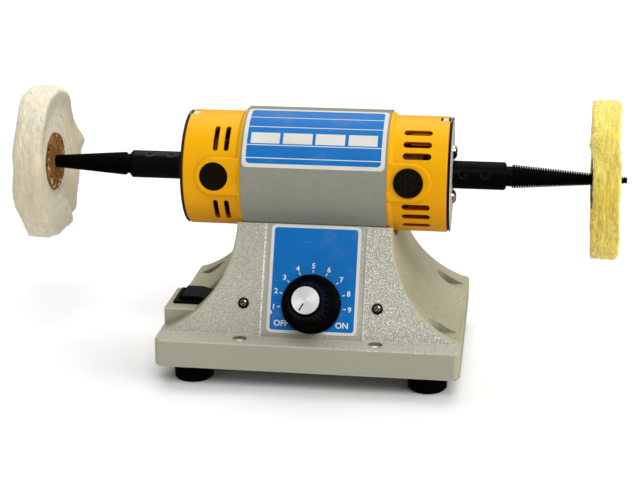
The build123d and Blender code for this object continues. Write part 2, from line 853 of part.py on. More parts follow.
def end_cap(boss_x, boss_reach, inner_bosses, cuts):
    """Cast cap of the right end: collar, spigot, hub with bearing seat, ribs, boss pads and rim notches."""
    inside = barrel_end - spigot_length
    spigot_radius = barrel_bore - spigot_gap
    shoulder = barrel_end + collar_length
    body = turned(
        (inside, 0),
        (inside, spigot_radius),
        (barrel_end, spigot_radius),
        (barrel_end, collar_radius),
        (shoulder - (collar_radius - cap_radius), collar_radius),
        (shoulder, cap_radius),
        (cap_end - cap_rim_round, cap_radius),
        (cap_end, cap_radius - cap_rim_round),
        (cap_end, snout_radius),
        (snout_end, snout_radius),
        (snout_end, 0),
    )
    for angle in (0, 180):
        body += boss_pad(boss_x, boss_reach, angle)
    wall_inside = cap_end - cap_wall
    hollow = rod(inside - spigot_length, wall_inside, cap_bore)
    hollow -= rod(cap_end - hub_length, cap_end, hub_radius)
    rib_side = rib_thickness / 2
    rib = block((wall_inside - rib_length, -cap_radius, -rib_side), (cap_end, 0, rib_side))
    for turn in range(rib_count):
        hollow -= Rot(rib_angle + turn * 360 / rib_count, 0, 0) * rib
    for angle in (tie_angle, tie_angle + 180):
        hollow -= beside_axis(rod(cap_end - tie_column_length, cap_end, tie_column_radius), tie_circle, angle)
    for boss in inner_bosses:
        hollow -= boss
    body -= hollow
    body -= rod(inside, bearing_x + bearing_width, bearing_outer_radius + bearing_fit)
    body -= rod(inside, snout_end + cap_wall, shaft_end_radius + shaft_clearance)
    for angle in (tie_angle, tie_angle + 180):
        body -= beside_axis(rod(inside, cap_end + cap_wall, tie_radius + screw_clearance), tie_circle, angle)
        sink = rod(cap_end - tie_recess_depth, cap_end + cap_wall, tie_recess_radius)
        body -= beside_axis(sink, tie_circle, angle)
    for angle in (tab_angle, tab_angle + 180):
        body -= tab_block(angle, tab_gap)
    for cut in cuts:
        body -= cut
    body = Rot(-boss_tilt, 0, 0) * body
    for angle in (90, 270):
        hole = rod(cap_end - end_screw_length, cap_end + cap_wall, end_screw_radius + thread_gap)
        body -= beside_axis(hole, end_screw_circle, angle)
    return on_motor(body)


def tab_block(angle, grown):
    """A tab of the end plate that runs back over the rim of the cap, grown into its notch."""
    start = cap_end - tab_length - grown
    end = plate_seat + end_plate_thickness / 2
    tab = Pos((start + end) / 2, 0) * Rectangle(end - start, tab_width + 2 * grown)
    outer = end_plate_radius + (cap_wall if grown else 0)
    return radial(tab, angle, end_plate_radius - end_plate_thickness - grown, outer)


def right_end_cap():
    """Cap with straight vents and the holes of the brush holders."""
    cuts = []
    bosses = []
    for angle in (0, 180):
        hole = Pos(right_boss_x, 0) * Circle(holder_radius + holder_fit)
        cuts.append(radial(hole, angle, 0, 2 * cap_radius))
        tube = Pos(right_boss_x, 0) * Circle(holder_radius + holder_fit + cap_wall)
        bosses.append(radial(tube, angle, cap_bore - holder_radius, cap_radius))
        for vent in right_vent_angles:
            slot = Pos(right_vent_x, 0) * SlotOverall(right_vent_length, right_vent_width)
            cuts += [radial(slot, angle + side * vent, hub_radius, 2 * cap_radius) for side in (-1, 1)]
    return end_cap(right_boss_x, right_boss_reach, bosses, cuts)


def left_end_cap():
    """Cap with vents that run round it and shallow recesses for the boss plugs."""
    cuts = []
    for angle in (0, 180):
        hole = Pos(left_boss_x, 0) * Circle(plug_radius + plug_gap)
        cuts.append(radial(hole, angle, boss_height - plug_depth, 2 * cap_radius))
        for vent_x in left_vent_x:
            cuts.append(round_slot(vent_x, angle + left_vent_start, angle + left_vent_end))
            cuts.append(round_slot(vent_x, angle - left_vent_end, angle - left_vent_start))
    return to_left(end_cap(left_boss_x, left_boss_reach, [], cuts))


def round_slot(vent_x, start, end):
    """Cutter for a vent with round ends that runs round the cap between two angles."""
    inset = math.degrees(left_vent_width / 2 / cap_radius)
    depth = 4 * cap_wall
    section = Pos(vent_x, cap_radius) * Rectangle(left_vent_width, depth)
    first = Rot(90 - end + inset, 0, 0) * Plane.XZ * section
    slot = revolve(first, Axis.X, revolution_arc=end - start - 2 * inset)
    tip = Pos(vent_x, 0) * Circle(left_vent_width / 2)
    for angle in (start + inset, end - inset):
        slot += radial(tip, angle, cap_radius - depth / 2, cap_radius + depth / 2)
    return slot


def boss_plugs():
    """Flat plugs in the boss recesses of the left cap."""
    disc = Pos(left_boss_x, 0) * Circle(plug_radius)
    plugs = [radial(disc, angle, boss_height - plug_depth, boss_height) for angle in (0, 180)]
    return [on_motor(Rot(-boss_tilt, 0, 0) * to_left(plug)) for plug in plugs]


def end_plate():
    """Pressed cover of the right end: flat rim, raised middle, hole for the hub and two tabs."""
    rim = end_plate_radius - seal_land
    raised = plate_seat + end_plate_rise
    inside = [
        (plate_seat, end_plate_radius),
        (plate_seat, rim),
        (raised, end_plate_step),
        (raised, end_plate_hole),
    ]
    outside = [(x + end_plate_thickness, radius) for x, radius in reversed(inside)]
    plate = turned(*inside, *outside)
    for angle in (tab_angle, tab_angle + 180):
        plate += tab_block(angle, 0)
    plate = Rot(-boss_tilt, 0, 0) * plate
    for angle in (90, 270):
        hole = rod(cap_end, 2 * cap_end, end_screw_radius + screw_clearance)
        plate -= beside_axis(hole, end_screw_circle, angle)
    return on_motor(plate)


def end_seals():
    """Flat seals between the caps and the rims of their end plates."""
    outer = end_plate_radius - end_plate_thickness - tab_gap
    seal = on_motor(ring(cap_end, plate_seat, end_plate_radius - seal_land, outer))
    return [to_left(seal), seal]


def end_plate_screws():
    """Dome-head screws that hold the end plates to the hubs."""
    crown = plate_face + end_screw_dome
    screw = turned(
        (plate_face - end_screw_length, 0),
        (plate_face - end_screw_length, end_screw_radius),
        (plate_face, end_screw_radius),
        (plate_face, end_screw_head_radius),
        ((plate_face + crown) / 2, end_screw_shoulder_radius),
        (crown, end_screw_crown_radius),
        (crown, 0),
    )
    right = [on_motor(beside_axis(screw, end_screw_circle, angle)) for angle in (90, 270)]
    return [to_left(piece) for piece in right] + right


def tie_bolts():
    """Long bolts through both caps, with their heads sunk in the right cap."""
    seat = cap_end - tie_recess_depth
    bolt = rod(-seat - tie_head, seat, tie_radius) + rod(seat, seat + tie_head, tie_head_radius)
    return [on_motor(beside_axis(bolt, tie_circle, boss_tilt + tie_angle + half)) for half in (0, 180)]


def tie_nuts():
    """Nuts of the long bolts, sunk in the left cap."""
    seat = cap_end - tie_recess_depth
    hexagon = RegularPolygon(tie_nut_flats / 2, 6, major_radius=False) - Circle(tie_radius + thread_gap)
    nut = extrude(Plane.YZ.offset(-seat - tie_head) * hexagon, amount=tie_head)
    return [on_motor(beside_axis(nut, tie_circle, boss_tilt + tie_angle + half)) for half in (0, 180)]


def ball_groove():
    """The track of the balls, as a ring about the X axis."""
    return revolve(Plane.XZ * Pos(bearing_middle, pitch_radius) * Circle(ball_radius + race_gap), Axis.X)


def bearing_rings(inner, outer):
    """One ring of each motor bearing, with the groove of the balls in it."""
    race = ring(bearing_x, bearing_x + bearing_width, inner, outer) - ball_groove()
    return [on_motor(to_left(race)), on_motor(race)]


def bearing_outer_rings():
    """Outer rings, fixed in the hubs of the caps."""
    return bearing_rings(bearing_outer_radius - ring_wall, bearing_outer_radius)


def bearing_inner_rings():
    """Inner rings, fixed on the shaft."""
    return bearing_rings(shaft_end_radius + press_gap, shaft_end_radius + ring_wall)


def bearing_balls():
    """Balls of both bearings and the cages that space them, which roll round together."""
    half = cage_width / 2
    inner = pitch_radius - cage_wall / 2
    cage = ring(bearing_middle - half, bearing_middle + half, inner, inner + cage_wall)
    window_side = 2 * (ball_radius + cage_gap)
    balls = []
    for turn in range(ball_count):
        angle = turn * 360 / ball_count
        window = Pos(bearing_middle, 0) * Rectangle(window_side, window_side)
        cage -= radial(window, angle, shaft_end_radius, bearing_outer_radius)
        balls.append(beside_axis(Pos(bearing_middle, 0, 0) * Sphere(ball_radius), pitch_radius, angle))
    right = [on_motor(piece) for piece in [cage] + balls]
    return [to_left(piece) for piece in right] + right


def stator_core():
    """Laminated ring with a pole at the top and one at the bottom."""
    yoke = Circle(stator_radius) - Circle(window_radius)
    pole = Circle(window_radius) & Rectangle(2 * pole_half_width, 2 * stator_radius)
    reach = 2 * stator_radius * math.tan(math.radians(shoe_half_angle))
    wedge = Polygon((0, 0), (reach, 2 * stator_radius), (-reach, 2 * stator_radius), align=None)
    shoes = Circle(stator_bore + shoe_thickness) & (wedge + Rot(0, 0, 180) * wedge)
    section = yoke + pole + shoes - Circle(stator_bore)
    return on_motor(extrude(Plane.YZ * section, amount=stator_length / 2, both=True))


def field_coils():
    """Racetrack coils round the two poles."""
    inner_x = stator_length / 2 + coil_gap
    inner_y = pole_half_width + coil_gap
    loop = Rectangle(2 * (inner_x + coil_thickness), 2 * (inner_y + coil_thickness))
    loop -= Rectangle(2 * inner_x, 2 * inner_y)
    space = ring(-barrel_end, barrel_end, stator_bore + shoe_thickness + coil_gap, window_radius - coil_gap)
    coil = extrude(loop, amount=barrel_radius) & space
    return [on_motor(coil), on_motor(Rot(180, 0, 0) * coil)]


def brush_holders():
    """Flanged tubes through the bosses of the right cap, with a channel for the brush."""
    face = Pos(right_boss_x, 0)
    seat = boss_height - brush_cap_depth
    flange = radial(face * Circle(holder_flange_radius), 0, boss_height, boss_height + holder_flange)
    holder = radial(face * Circle(holder_radius), 0, holder_end, boss_height) + flange
    holder -= radial(face * Circle(holder_radius - holder_wall), 0, seat, 2 * boss_height)
    channel = Rectangle(brush_length_x + 2 * brush_slide, brush_width + 2 * brush_slide)
    holder -= radial(face * channel, 0, 0, boss_height)
    return [on_motor(Rot(-boss_tilt - half, 0, 0) * holder) for half in (0, 180)]


def carbon_brushes():
    """Carbon blocks whose inner ends follow the commutator."""
    block_face = Pos(right_boss_x, 0) * Rectangle(brush_length_x, brush_width)
    brush = radial(block_face, 0, 0, brush_top)
    brush -= rod(-barrel_end, 2 * cap_end, commutator_radius + brush_contact_gap)
    return [on_motor(Rot(-boss_tilt - half, 0, 0) * brush) for half in (0, 180)]


def brush_springs():
    """Springs between the brushes and their caps, as plain sleeves."""
    section = Circle(spring_outer_radius) - Circle(spring_inner_radius)
    spring = radial(Pos(right_boss_x, 0) * section, 0, brush_top, boss_height - brush_cap_depth)
    return [on_motor(Rot(-boss_tilt - half, 0, 0) * spring) for half in (0, 180)]


def brush_caps():
    """Slotted screw caps over the brushes, stepped in round the outer face."""
    top = boss_height + holder_flange + brush_cap_proud
    step = top - brush_cap_step_depth
    face = Pos(right_boss_x, 0)
    cap = radial(face * Circle(brush_cap_radius), 0, boss_height - brush_cap_depth, step)
    cap += radial(face * Circle(brush_cap_radius - brush_cap_step), 0, step, top)
    slot = face * Rectangle(brush_cap_slot, 2 * holder_radius)
    cap -= radial(slot, 0, top - brush_cap_slot_depth, 2 * top)
    return [on_motor(Rot(-boss_tilt - half, 0, 0) * cap) for half in (0, 180)]


def motor_shaft():
    """Shaft through both bearings, with a thicker middle and ends that reach into the spindles."""
    reach = sleeve_bore_depth - shaft_clearance
    left = -(left_sleeve_start + reach)
    right = right_sleeve_start + reach
    shaft = rod(left, right, shaft_end_radius) + rod(-bearing_x, bearing_x, shaft_middle_radius)
    return on_motor(shaft)


def armature_slot_places():
    """Angle of each armature slot."""
    return [turn * 360 / armature_slots for turn in range(armature_slots)]


def armature_core():
    """Laminated core with straight slots for the winding."""
    section = Circle(armature_radius) - Circle(shaft_middle_radius + press_gap)
    slot = Pos(armature_radius, 0) * Rectangle(2 * armature_slot_depth, armature_slot_width)
    for angle in armature_slot_places():
        section -= Rot(0, 0, angle) * slot
    return on_motor(extrude(Plane.YZ * section, amount=armature_length / 2, both=True))


def armature_winding():
    """Wire in the slots, joined by the end turns on both sides of the core."""
    end = armature_length / 2 + winding_gap
    turns = ring(end, end + winding_overhang, winding_inner_radius, winding_outer_radius)
    winding = turns + to_left(turns)
    bottom = armature_radius - armature_slot_depth + winding_gap
    half_width = armature_slot_width / 2 - winding_gap
    for angle in armature_slot_places():
        bar = block((-end, bottom, -half_width), (end, winding_outer_radius, half_width))
        winding += Rot(angle, 0, 0) * bar
    return on_motor(winding)


def commutator():
    """Copper cylinder that the brushes run on, with a riser towards the winding."""
    end = commutator_start + commutator_length
    body = ring(commutator_start, end, shaft_middle_radius + press_gap, commutator_radius)
    riser = ring(commutator_start, commutator_start + riser_length, commutator_radius, riser_radius)
    return on_motor(body + riser)


def cooling_fan():
    """Radial fan in the left cap: hub, back plate and straight blades."""
    end = fan_start + fan_length
    fan = ring(fan_start, end, shaft_middle_radius + press_gap, fan_hub_radius)
    fan += ring(end - fan_plate, end, fan_hub_radius, fan_radius)
    overlap = fan_blade / 2
    for turn in range(fan_blades):
        blade = block((fan_start, fan_hub_radius - overlap, -overlap), (end, fan_radius - overlap, overlap))
        fan += Rot(turn * 360 / fan_blades, 0, 0) * blade
    return on_motor(to_left(fan))


def taper_radius(distance):
    """Radius of the spindle's taper at a distance from its thick end."""
    return taper_big_radius + (taper_tip_radius - taper_big_radius) * distance / taper_length


def spindle(start, screw_angle):
    """Right spindle: sleeve for the shaft, neck and long taper."""
    end = start + sleeve_length
    thread = end + neck_length
    bore = shaft_end_radius + press_gap
    body = turned(
        (start, bore),
        (start, sleeve_radius),
        (end - sleeve_chamfer, sleeve_radius),
        (end, sleeve_radius - sleeve_chamfer),
        (end, neck_radius),
        (thread, neck_radius),
        (thread, taper_big_radius),
        (thread + taper_length, taper_tip_radius),
        (thread + taper_length, 0),
        (start + sleeve_bore_depth, 0),
        (start + sleeve_bore_depth, bore),
    )
    for place in set_screw_places:
        hole = Pos(end - place, 0) * Circle(set_screw_radius + thread_gap)
        body -= radial(hole, screw_angle, 0, 2 * sleeve_radius)
    return on_motor(body)


def set_screws(start, screw_angle):
    """Screws of the right spindle that bear on the shaft."""
    screws = []
    for place in set_screw_places:
        shank = Pos(start + sleeve_length - place, 0) * Circle(set_screw_radius)
        inner = shaft_end_radius + thread_gap
        screws.append(on_motor(radial(shank, screw_angle, inner, sleeve_radius - set_screw_sunk)))
    return screws


def spindle_set_screws():
    """The set screws of both spindles."""
    left = [to_left(screw) for screw in set_screws(left_sleeve_start, left_set_screw_angle)]
    return left + set_screws(right_sleeve_start, right_set_screw_angle)


def taper_hole(thread_start):
    """The hole that the taper makes in what is screwed onto it."""
    return turned(
        (thread_start, 0),
        (thread_start, taper_radius(0) + buff_bore_gap),
        (thread_start + taper_length, taper_radius(taper_length) + buff_bore_gap),
        (thread_start + taper_length, 0),
    )


def buff(thread_start, place, hub, rim, rim_round):
    """Right buff: thin stitched hub that fans out to a thicker rim, whose edges are bevelled in two steps."""
    middle = thread_start + place
    bevel = rim_round / 3
    inner_half = [
        (middle - hub / 2, 0),
        (middle - hub / 2, buff_hub_radius),
        (middle - rim / 2, buff_radius - rim_round),
        (middle - rim / 2 + bevel, buff_radius - bevel),
        (middle - rim / 2 + rim_round, buff_radius),
    ]
    outer_half = [(2 * middle - x, radius) for x, radius in reversed(inner_half)]
    return on_motor(turned(*inner_half, *outer_half) - taper_hole(thread_start))


def leather_discs(thread_start, place, hub):
    """Leather discs on both faces of the right buff's hub."""
    middle = thread_start + place
    outer = rod(middle + hub / 2, middle + hub / 2 + leather_thickness, leather_radius)
    inner = rod(middle - hub / 2 - leather_thickness, middle - hub / 2, leather_radius)
    return [on_motor(disc - taper_hole(thread_start)) for disc in (inner, outer)]


nodes = {
    "base_casting": base_casting(),
    "bottom_plate": bottom_plate(),
    "rubber_feet": rubber_feet(),
    "foot_screws": foot_screws(),
    "front_label": front_label(),
    "front_screws": front_screws(),
    "board_spacers": board_spacers(),
    "speed_board": speed_board(),
    "board_components": board_components(),
    "board_screws": board_screws(),
    "pot_body": pot_body(),
    "pot_nut": pot_nut(),
    "pot_shaft": pot_shaft(),
    "speed_knob": speed_knob(),
    "knob_disc": knob_disc(),
    "knob_grub_screw": knob_grub_screw(),
    "switch_housing": switch_housing(),
    "switch_terminals": switch_terminals(),
    "switch_rocker": switch_rocker(),
    "cord_grommet": cord_grommet(),
    "saddle_bolts": saddle_bolts(),
    "motor_barrel": motor_barrel(),
    "top_label": top_label(),
    "left_end_cap": left_end_cap(),
    "right_end_cap": right_end_cap(),
    "boss_plugs": boss_plugs(),
    "left_end_plate": to_left(end_plate()),
    "right_end_plate": end_plate(),
    "end_seals": end_seals(),
    "end_plate_screws": end_plate_screws(),
    "tie_bolts": tie_bolts(),
    "tie_nuts": tie_nuts(),
    "stator_core": stator_core(),
    "field_coils": field_coils(),
    "bearing_outer_rings": bearing_outer_rings(),
    "bearing_inner_rings": bearing_inner_rings(),
    "bearing_balls": bearing_balls(),
    "brush_holders": brush_holders(),
    "carbon_brushes": carbon_brushes(),
    "brush_springs": brush_springs(),
    "brush_caps": brush_caps(),
    "motor_shaft": motor_shaft(),
    "armature_core": armature_core(),
    "armature_winding": armature_winding(),
    "commutator": commutator(),
    "cooling_fan": cooling_fan(),
    "left_spindle": to_left(spindle(left_sleeve_start, left_set_screw_angle)),
    "right_spindle": spindle(right_sleeve_start, right_set_screw_angle),
    "spindle_set_screws": spindle_set_screws(),
    "left_buff": to_left(
        buff(left_thread_start, left_buff_place, left_buff_hub, left_buff_rim, left_rim_round)
    ),
    "right_buff": buff(right_thread_start, right_buff_place, right_buff_hub, right_buff_rim, right_rim_round),
    "left_leather_discs": [
        to_left(disc) for disc in leather_discs(left_thread_start, left_buff_place, left_buff_hub)
    ],
    "right_leather_discs": leather_discs(right_thread_start, right_buff_place, right_buff_hub),
}

os.makedirs("parts", exist_ok=True)
for name, shape in nodes.items():
    whole = Compound(children=shape) if isinstance(shape, list) else shape
    export_step(whole, f"parts/{name}.step")
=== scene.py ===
import math

import bmesh
import bpy
import numpy as np
from mathutils import Matrix


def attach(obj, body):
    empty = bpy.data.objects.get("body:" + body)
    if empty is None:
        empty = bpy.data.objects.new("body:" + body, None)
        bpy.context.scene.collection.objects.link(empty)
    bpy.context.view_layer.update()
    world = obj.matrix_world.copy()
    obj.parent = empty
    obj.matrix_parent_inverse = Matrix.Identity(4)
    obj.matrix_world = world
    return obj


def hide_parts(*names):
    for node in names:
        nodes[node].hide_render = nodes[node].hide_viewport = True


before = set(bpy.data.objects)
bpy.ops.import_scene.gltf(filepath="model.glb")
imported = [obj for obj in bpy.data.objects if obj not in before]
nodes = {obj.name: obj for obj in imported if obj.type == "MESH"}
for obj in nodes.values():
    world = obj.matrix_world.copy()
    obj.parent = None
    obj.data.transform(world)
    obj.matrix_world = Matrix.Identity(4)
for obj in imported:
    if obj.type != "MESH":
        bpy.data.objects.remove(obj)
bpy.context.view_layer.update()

# Sizes in millimetres, those of the model where it has them, but sleeve_radius is 0.25 mm larger
# X runs along the motor axis, the front is at -Y, and angles round the axis go up from the front
MM = 0.001
weld_distance = 0.0002
axis_height = 125.0
barrel_radius, cap_radius = 40.0, 36.8
plinth_top, front_foot = 32.0, -59.5
lean = math.radians(24.806258)
panel_half_width = 32.0
dimple_x, dimple_y, dimple_radius = 42.5, -65.8, 4.7

# Front label, knob and dial
label_x, label_half_width, label_rim = 1.5, 28.6, 2.0
label_low, label_high = 2.3, 71.29
label_top, ink_thickness = -0.1, 0.08
chip_x, chip_rise = -25.6, 15.2
knob_x, knob_rise = 0.9, 21.1
pointer_at_rest = math.radians(-150.0)
dial_step, dial_numbers = 24.0, 9
tick_start, tick_end = 20.0, 21.8
numeral_radius, numeral_size = 24.2, 4.6
off_x, on_x, word_rise, word_size = -18.0, 20.6, 8.4, 5.2

# Screws of the front, the feet and the covers
front_screw_x, front_screw_rise, front_screw_radius = 42.4, 20.1, 3.1
foot_screw_x, foot_screw_y, foot_screw_seat = 74.7, 53.05, 9.5
cover_face, cover_radius, cover_screw_rise = 84.95, cap_radius - 0.5, 14.7

# Spindles, and the place along the axis and the angle of each of their set screws
left_sleeve, right_sleeve = 91.05, 85.25
sleeve_length, sleeve_radius = 33.55, 8.9
sleeve_lead, sleeve_chamfer = 0.5, 1.2
sleeve_bore_depth, sleeve_bore_radius = 28.05, 4.03
neck_length, neck_radius, neck_overlap = 3.6, 6.4, 0.2
taper_length, taper_big_radius, taper_tip_radius = 71.7, 7.35, 1.9
thread_pitch, thread_depth, thread_crest = 1.53, 1.5, 0.25
thread_lead, groove_runout, crest_runout, full_depth_radius = 1.2, 1.5, 10.0, 3.8
hole_depth, hole_radius, hole_floor, hole_rim = 1.1, 2.85, 2.5, 2.75
set_screws = [
    (side * (start + sleeve_length - place), math.radians(angle))
    for side, start, angle in ((-1, left_sleeve, 68.0), (1, right_sleeve, 18.0))
    for place in (13.1, 27.2)
]

# Buffs, with the radius of each ring of stitches and their number
buff_radius, buff_hub_radius, leather_radius = 50.0, 21.0, 18.7
stitch_rings = {23.5: 40, 30.0: 50}

# Shader maths

def maths(operation):
    """A method that adds one Math node, for a value alone or with another."""
    return lambda self, *other: self.calc(operation, self, *other)

class Flow:
    """One shader value. Arithmetic on it adds Math nodes, so a formula reads as Python."""

    def __init__(self, paint, node, output):
        self.paint = paint
        self.node = node
        self.socket = node.outputs[output]

    def out(self, output):
        return Flow(self.paint, self.node, output)

    def calc(self, operation, *values):
        return self.paint.add("Math", {"operation": operation}, dict(enumerate(values)))

    __add__ = __radd__ = maths("ADD")
    __sub__ = maths("SUBTRACT")
    __mul__ = maths("MULTIPLY")
    __pow__ = maths("POWER")
    __abs__ = maths("ABSOLUTE")
    sine = maths("SINE")
    least = maths("MINIMUM")
    most = maths("MAXIMUM")

    def __rsub__(self, other):
        return self.calc("SUBTRACT", other, self)

    def rise(self, low, high):
        """0 below low, 1 above high, an S curve between; low above high turns it round."""
        sockets = {"Value": self, "From Min": low, "From Max": high}
        return self.paint.add("MapRange", {"interpolation_type": "SMOOTHSTEP"}, sockets)

class Paint:
    """A material and the nodes of its finish."""

    def __init__(self, name, **constants):
        self.material = bpy.data.materials.new(name)
        self.material.use_nodes = True
        self.tree = self.material.node_tree
        self.shader = self.tree.nodes["Principled BSDF"]
        self.set(**constants)
        metres = self.add("TexCoord").out("Object")
        self.place = self.add("VectorMath", {"operation": "SCALE"}, {0: metres, "Scale": 1 / MM})

    def add(self, kind, settings=None, sockets=None, output=0):
        """Any node: its settings are set first, then the values or links of its sockets."""
        node = self.tree.nodes.new("ShaderNode" + kind)
        for key, value in (settings or {}).items():
            setattr(node, key, value)
        for key, value in (sockets or {}).items():
            self.feed(node.inputs[key], value)
        return Flow(self, node, output)

    def feed(self, socket, value):
        """Links a shader value to a socket, or sets the socket to a number, a vector or a colour."""
        if isinstance(value, Flow):
            self.tree.links.new(value.socket, socket)
        else:
            socket.default_value = (*value, 1.0) if socket.type == "RGBA" else value

    def set(self, **inputs):
        for key, value in inputs.items():
            self.feed(self.shader.inputs[key.replace("_", " ")], value)
        return self

    def split(self, vector):
        parts = self.add("SeparateXYZ", {}, {0: vector})
        return parts, parts.out(1), parts.out(2)

    def joined(self, x, y, z=0.0):
        return self.add("CombineXYZ", {}, {0: x, 1: y, 2: z})

    def scaled(self, vector, scale):
        return self.add("Mapping", {}, {"Vector": vector, "Scale": scale})

    def xyz(self):
        """Place on the piece in millimetres, as three values."""
        return self.split(self.place)

    def uv(self):
        """The piece's own map: round it and along it, both from 0 to 1."""
        return self.split(self.add("TexCoord").out("UV"))[:2]

    def facing(self):
        """The surface's own direction, as three values."""
        return self.split(self.add("NewGeometry").out("Normal"))

    def noise(self, size, detail=2.0, rough=0.5, vector=None, bend=0.0):
        """Cloudy noise whose lumps are about size millimetres across."""
        sockets = {"Vector": vector or self.place, "Scale": 1 / size, "Detail": detail}
        sockets.update({"Roughness": rough, "Distortion": bend})
        return self.add("TexNoise", {}, sockets)

    def cells(self, size, feature="F1"):
        """Distance to scattered points about size millimetres apart, or to the borders between them."""
        return self.add("TexVoronoi", {"feature": feature}, {"Vector": self.place, "Scale": 1 / size})

    def mix(self, share, first, second):
        """Colour between first and second. Inputs 6 and 7 and output 2 of a Mix node are its colours."""
        return self.add("Mix", {"data_type": "RGBA"}, {0: share, 6: first, 7: second}, 2)

    def coats(self, colour, *layers):
        """Colours laid over a first one. Each layer has the share of it that shows and its colour."""
        for share, shade in layers:
            colour = self.mix(share, colour, shade)
        return colour

    def softened(self, radius):
        """The surface's direction, with its edges rounded by a radius in millimetres."""
        return self.add("Bevel", {"samples": 6}, {"Radius": radius * MM})

    def edges(self, radius):
        """1 along outer and inner edges within a radius in millimetres, 0 on open faces."""
        sockets = {0: self.softened(radius), 1: self.add("NewGeometry").out("Normal")}
        alike = self.add("VectorMath", {"operation": "DOT_PRODUCT"}, sockets, "Value")
        return (1 - alike).rise(0.01, 0.2)

    def hollows(self, size):
        """0 on open faces, up to 1 deep in hollows about size millimetres wide, found by occlusion, so a mask
        for painted shade.
        """
        settings = {"samples": 8, "only_local": True}
        light = self.add("AmbientOcclusion", settings, {"Distance": size * MM}, "AO")
        return (1 - light).rise(0.12, 0.9)

    def finish(self, colour, rough, height, depth, strength, edge=0.0):
        """Colour, roughness and relief. The relief has a height of 0 to 1 that is depth millimetres deep, and
        edges softened by a radius."""
        sockets = {"Height": height, "Distance": depth * MM, "Strength": strength}
        if edge:
            sockets["Normal"] = self.softened(edge)
        return self.set(Base_Color=colour, Roughness=rough, Normal=self.add("Bump", {}, sockets))

def greatest(flows):
    """The largest of several values at each place."""
    largest = flows[0]
    for flow in flows[1:]:
        largest = largest.most(flow)
    return largest

def apart(first, second):
    """Length of a line from its two legs at right angles."""
    return (first ** 2.0 + second ** 2.0) ** 0.5

def from_axis(y, z):
    """Distance out from the motor axis."""
    return apart(y, z - axis_height)

def round_axis(y, z, radius):
    """Distance round the motor axis at a radius, up from the front."""
    return y.calc("ARCTAN2", z - axis_height, y * -1.0) * radius

def up_slope(y, z):
    """Distance up the sloping front from its foot."""
    return (y - front_foot) * math.sin(lean) + (z - plinth_top) * math.cos(lean)

def from_front_screw(x, y, z):
    """Distance from the middle of the nearer front screw."""
    return apart(abs(x) - front_screw_x, up_slope(y, z) - front_screw_rise)

def from_knob(x, rise):
    """Offsets from the knob's middle, across and up the slope, and the distance from it."""
    across, up = x - knob_x, rise - knob_rise
    return across, up, apart(across, up)

def rounded(x, y, middle, half, corner):
    """Signed distance to a rectangle with round corners, in the units of x and y: below 0 inside."""
    qx = abs(x - middle[0]) - (half[0] - corner)
    qy = abs(y - middle[1]) - (half[1] - corner)
    return apart(qx.most(0.0), qy.most(0.0)) + qx.most(qy).least(0.0) - corner

# Finishes

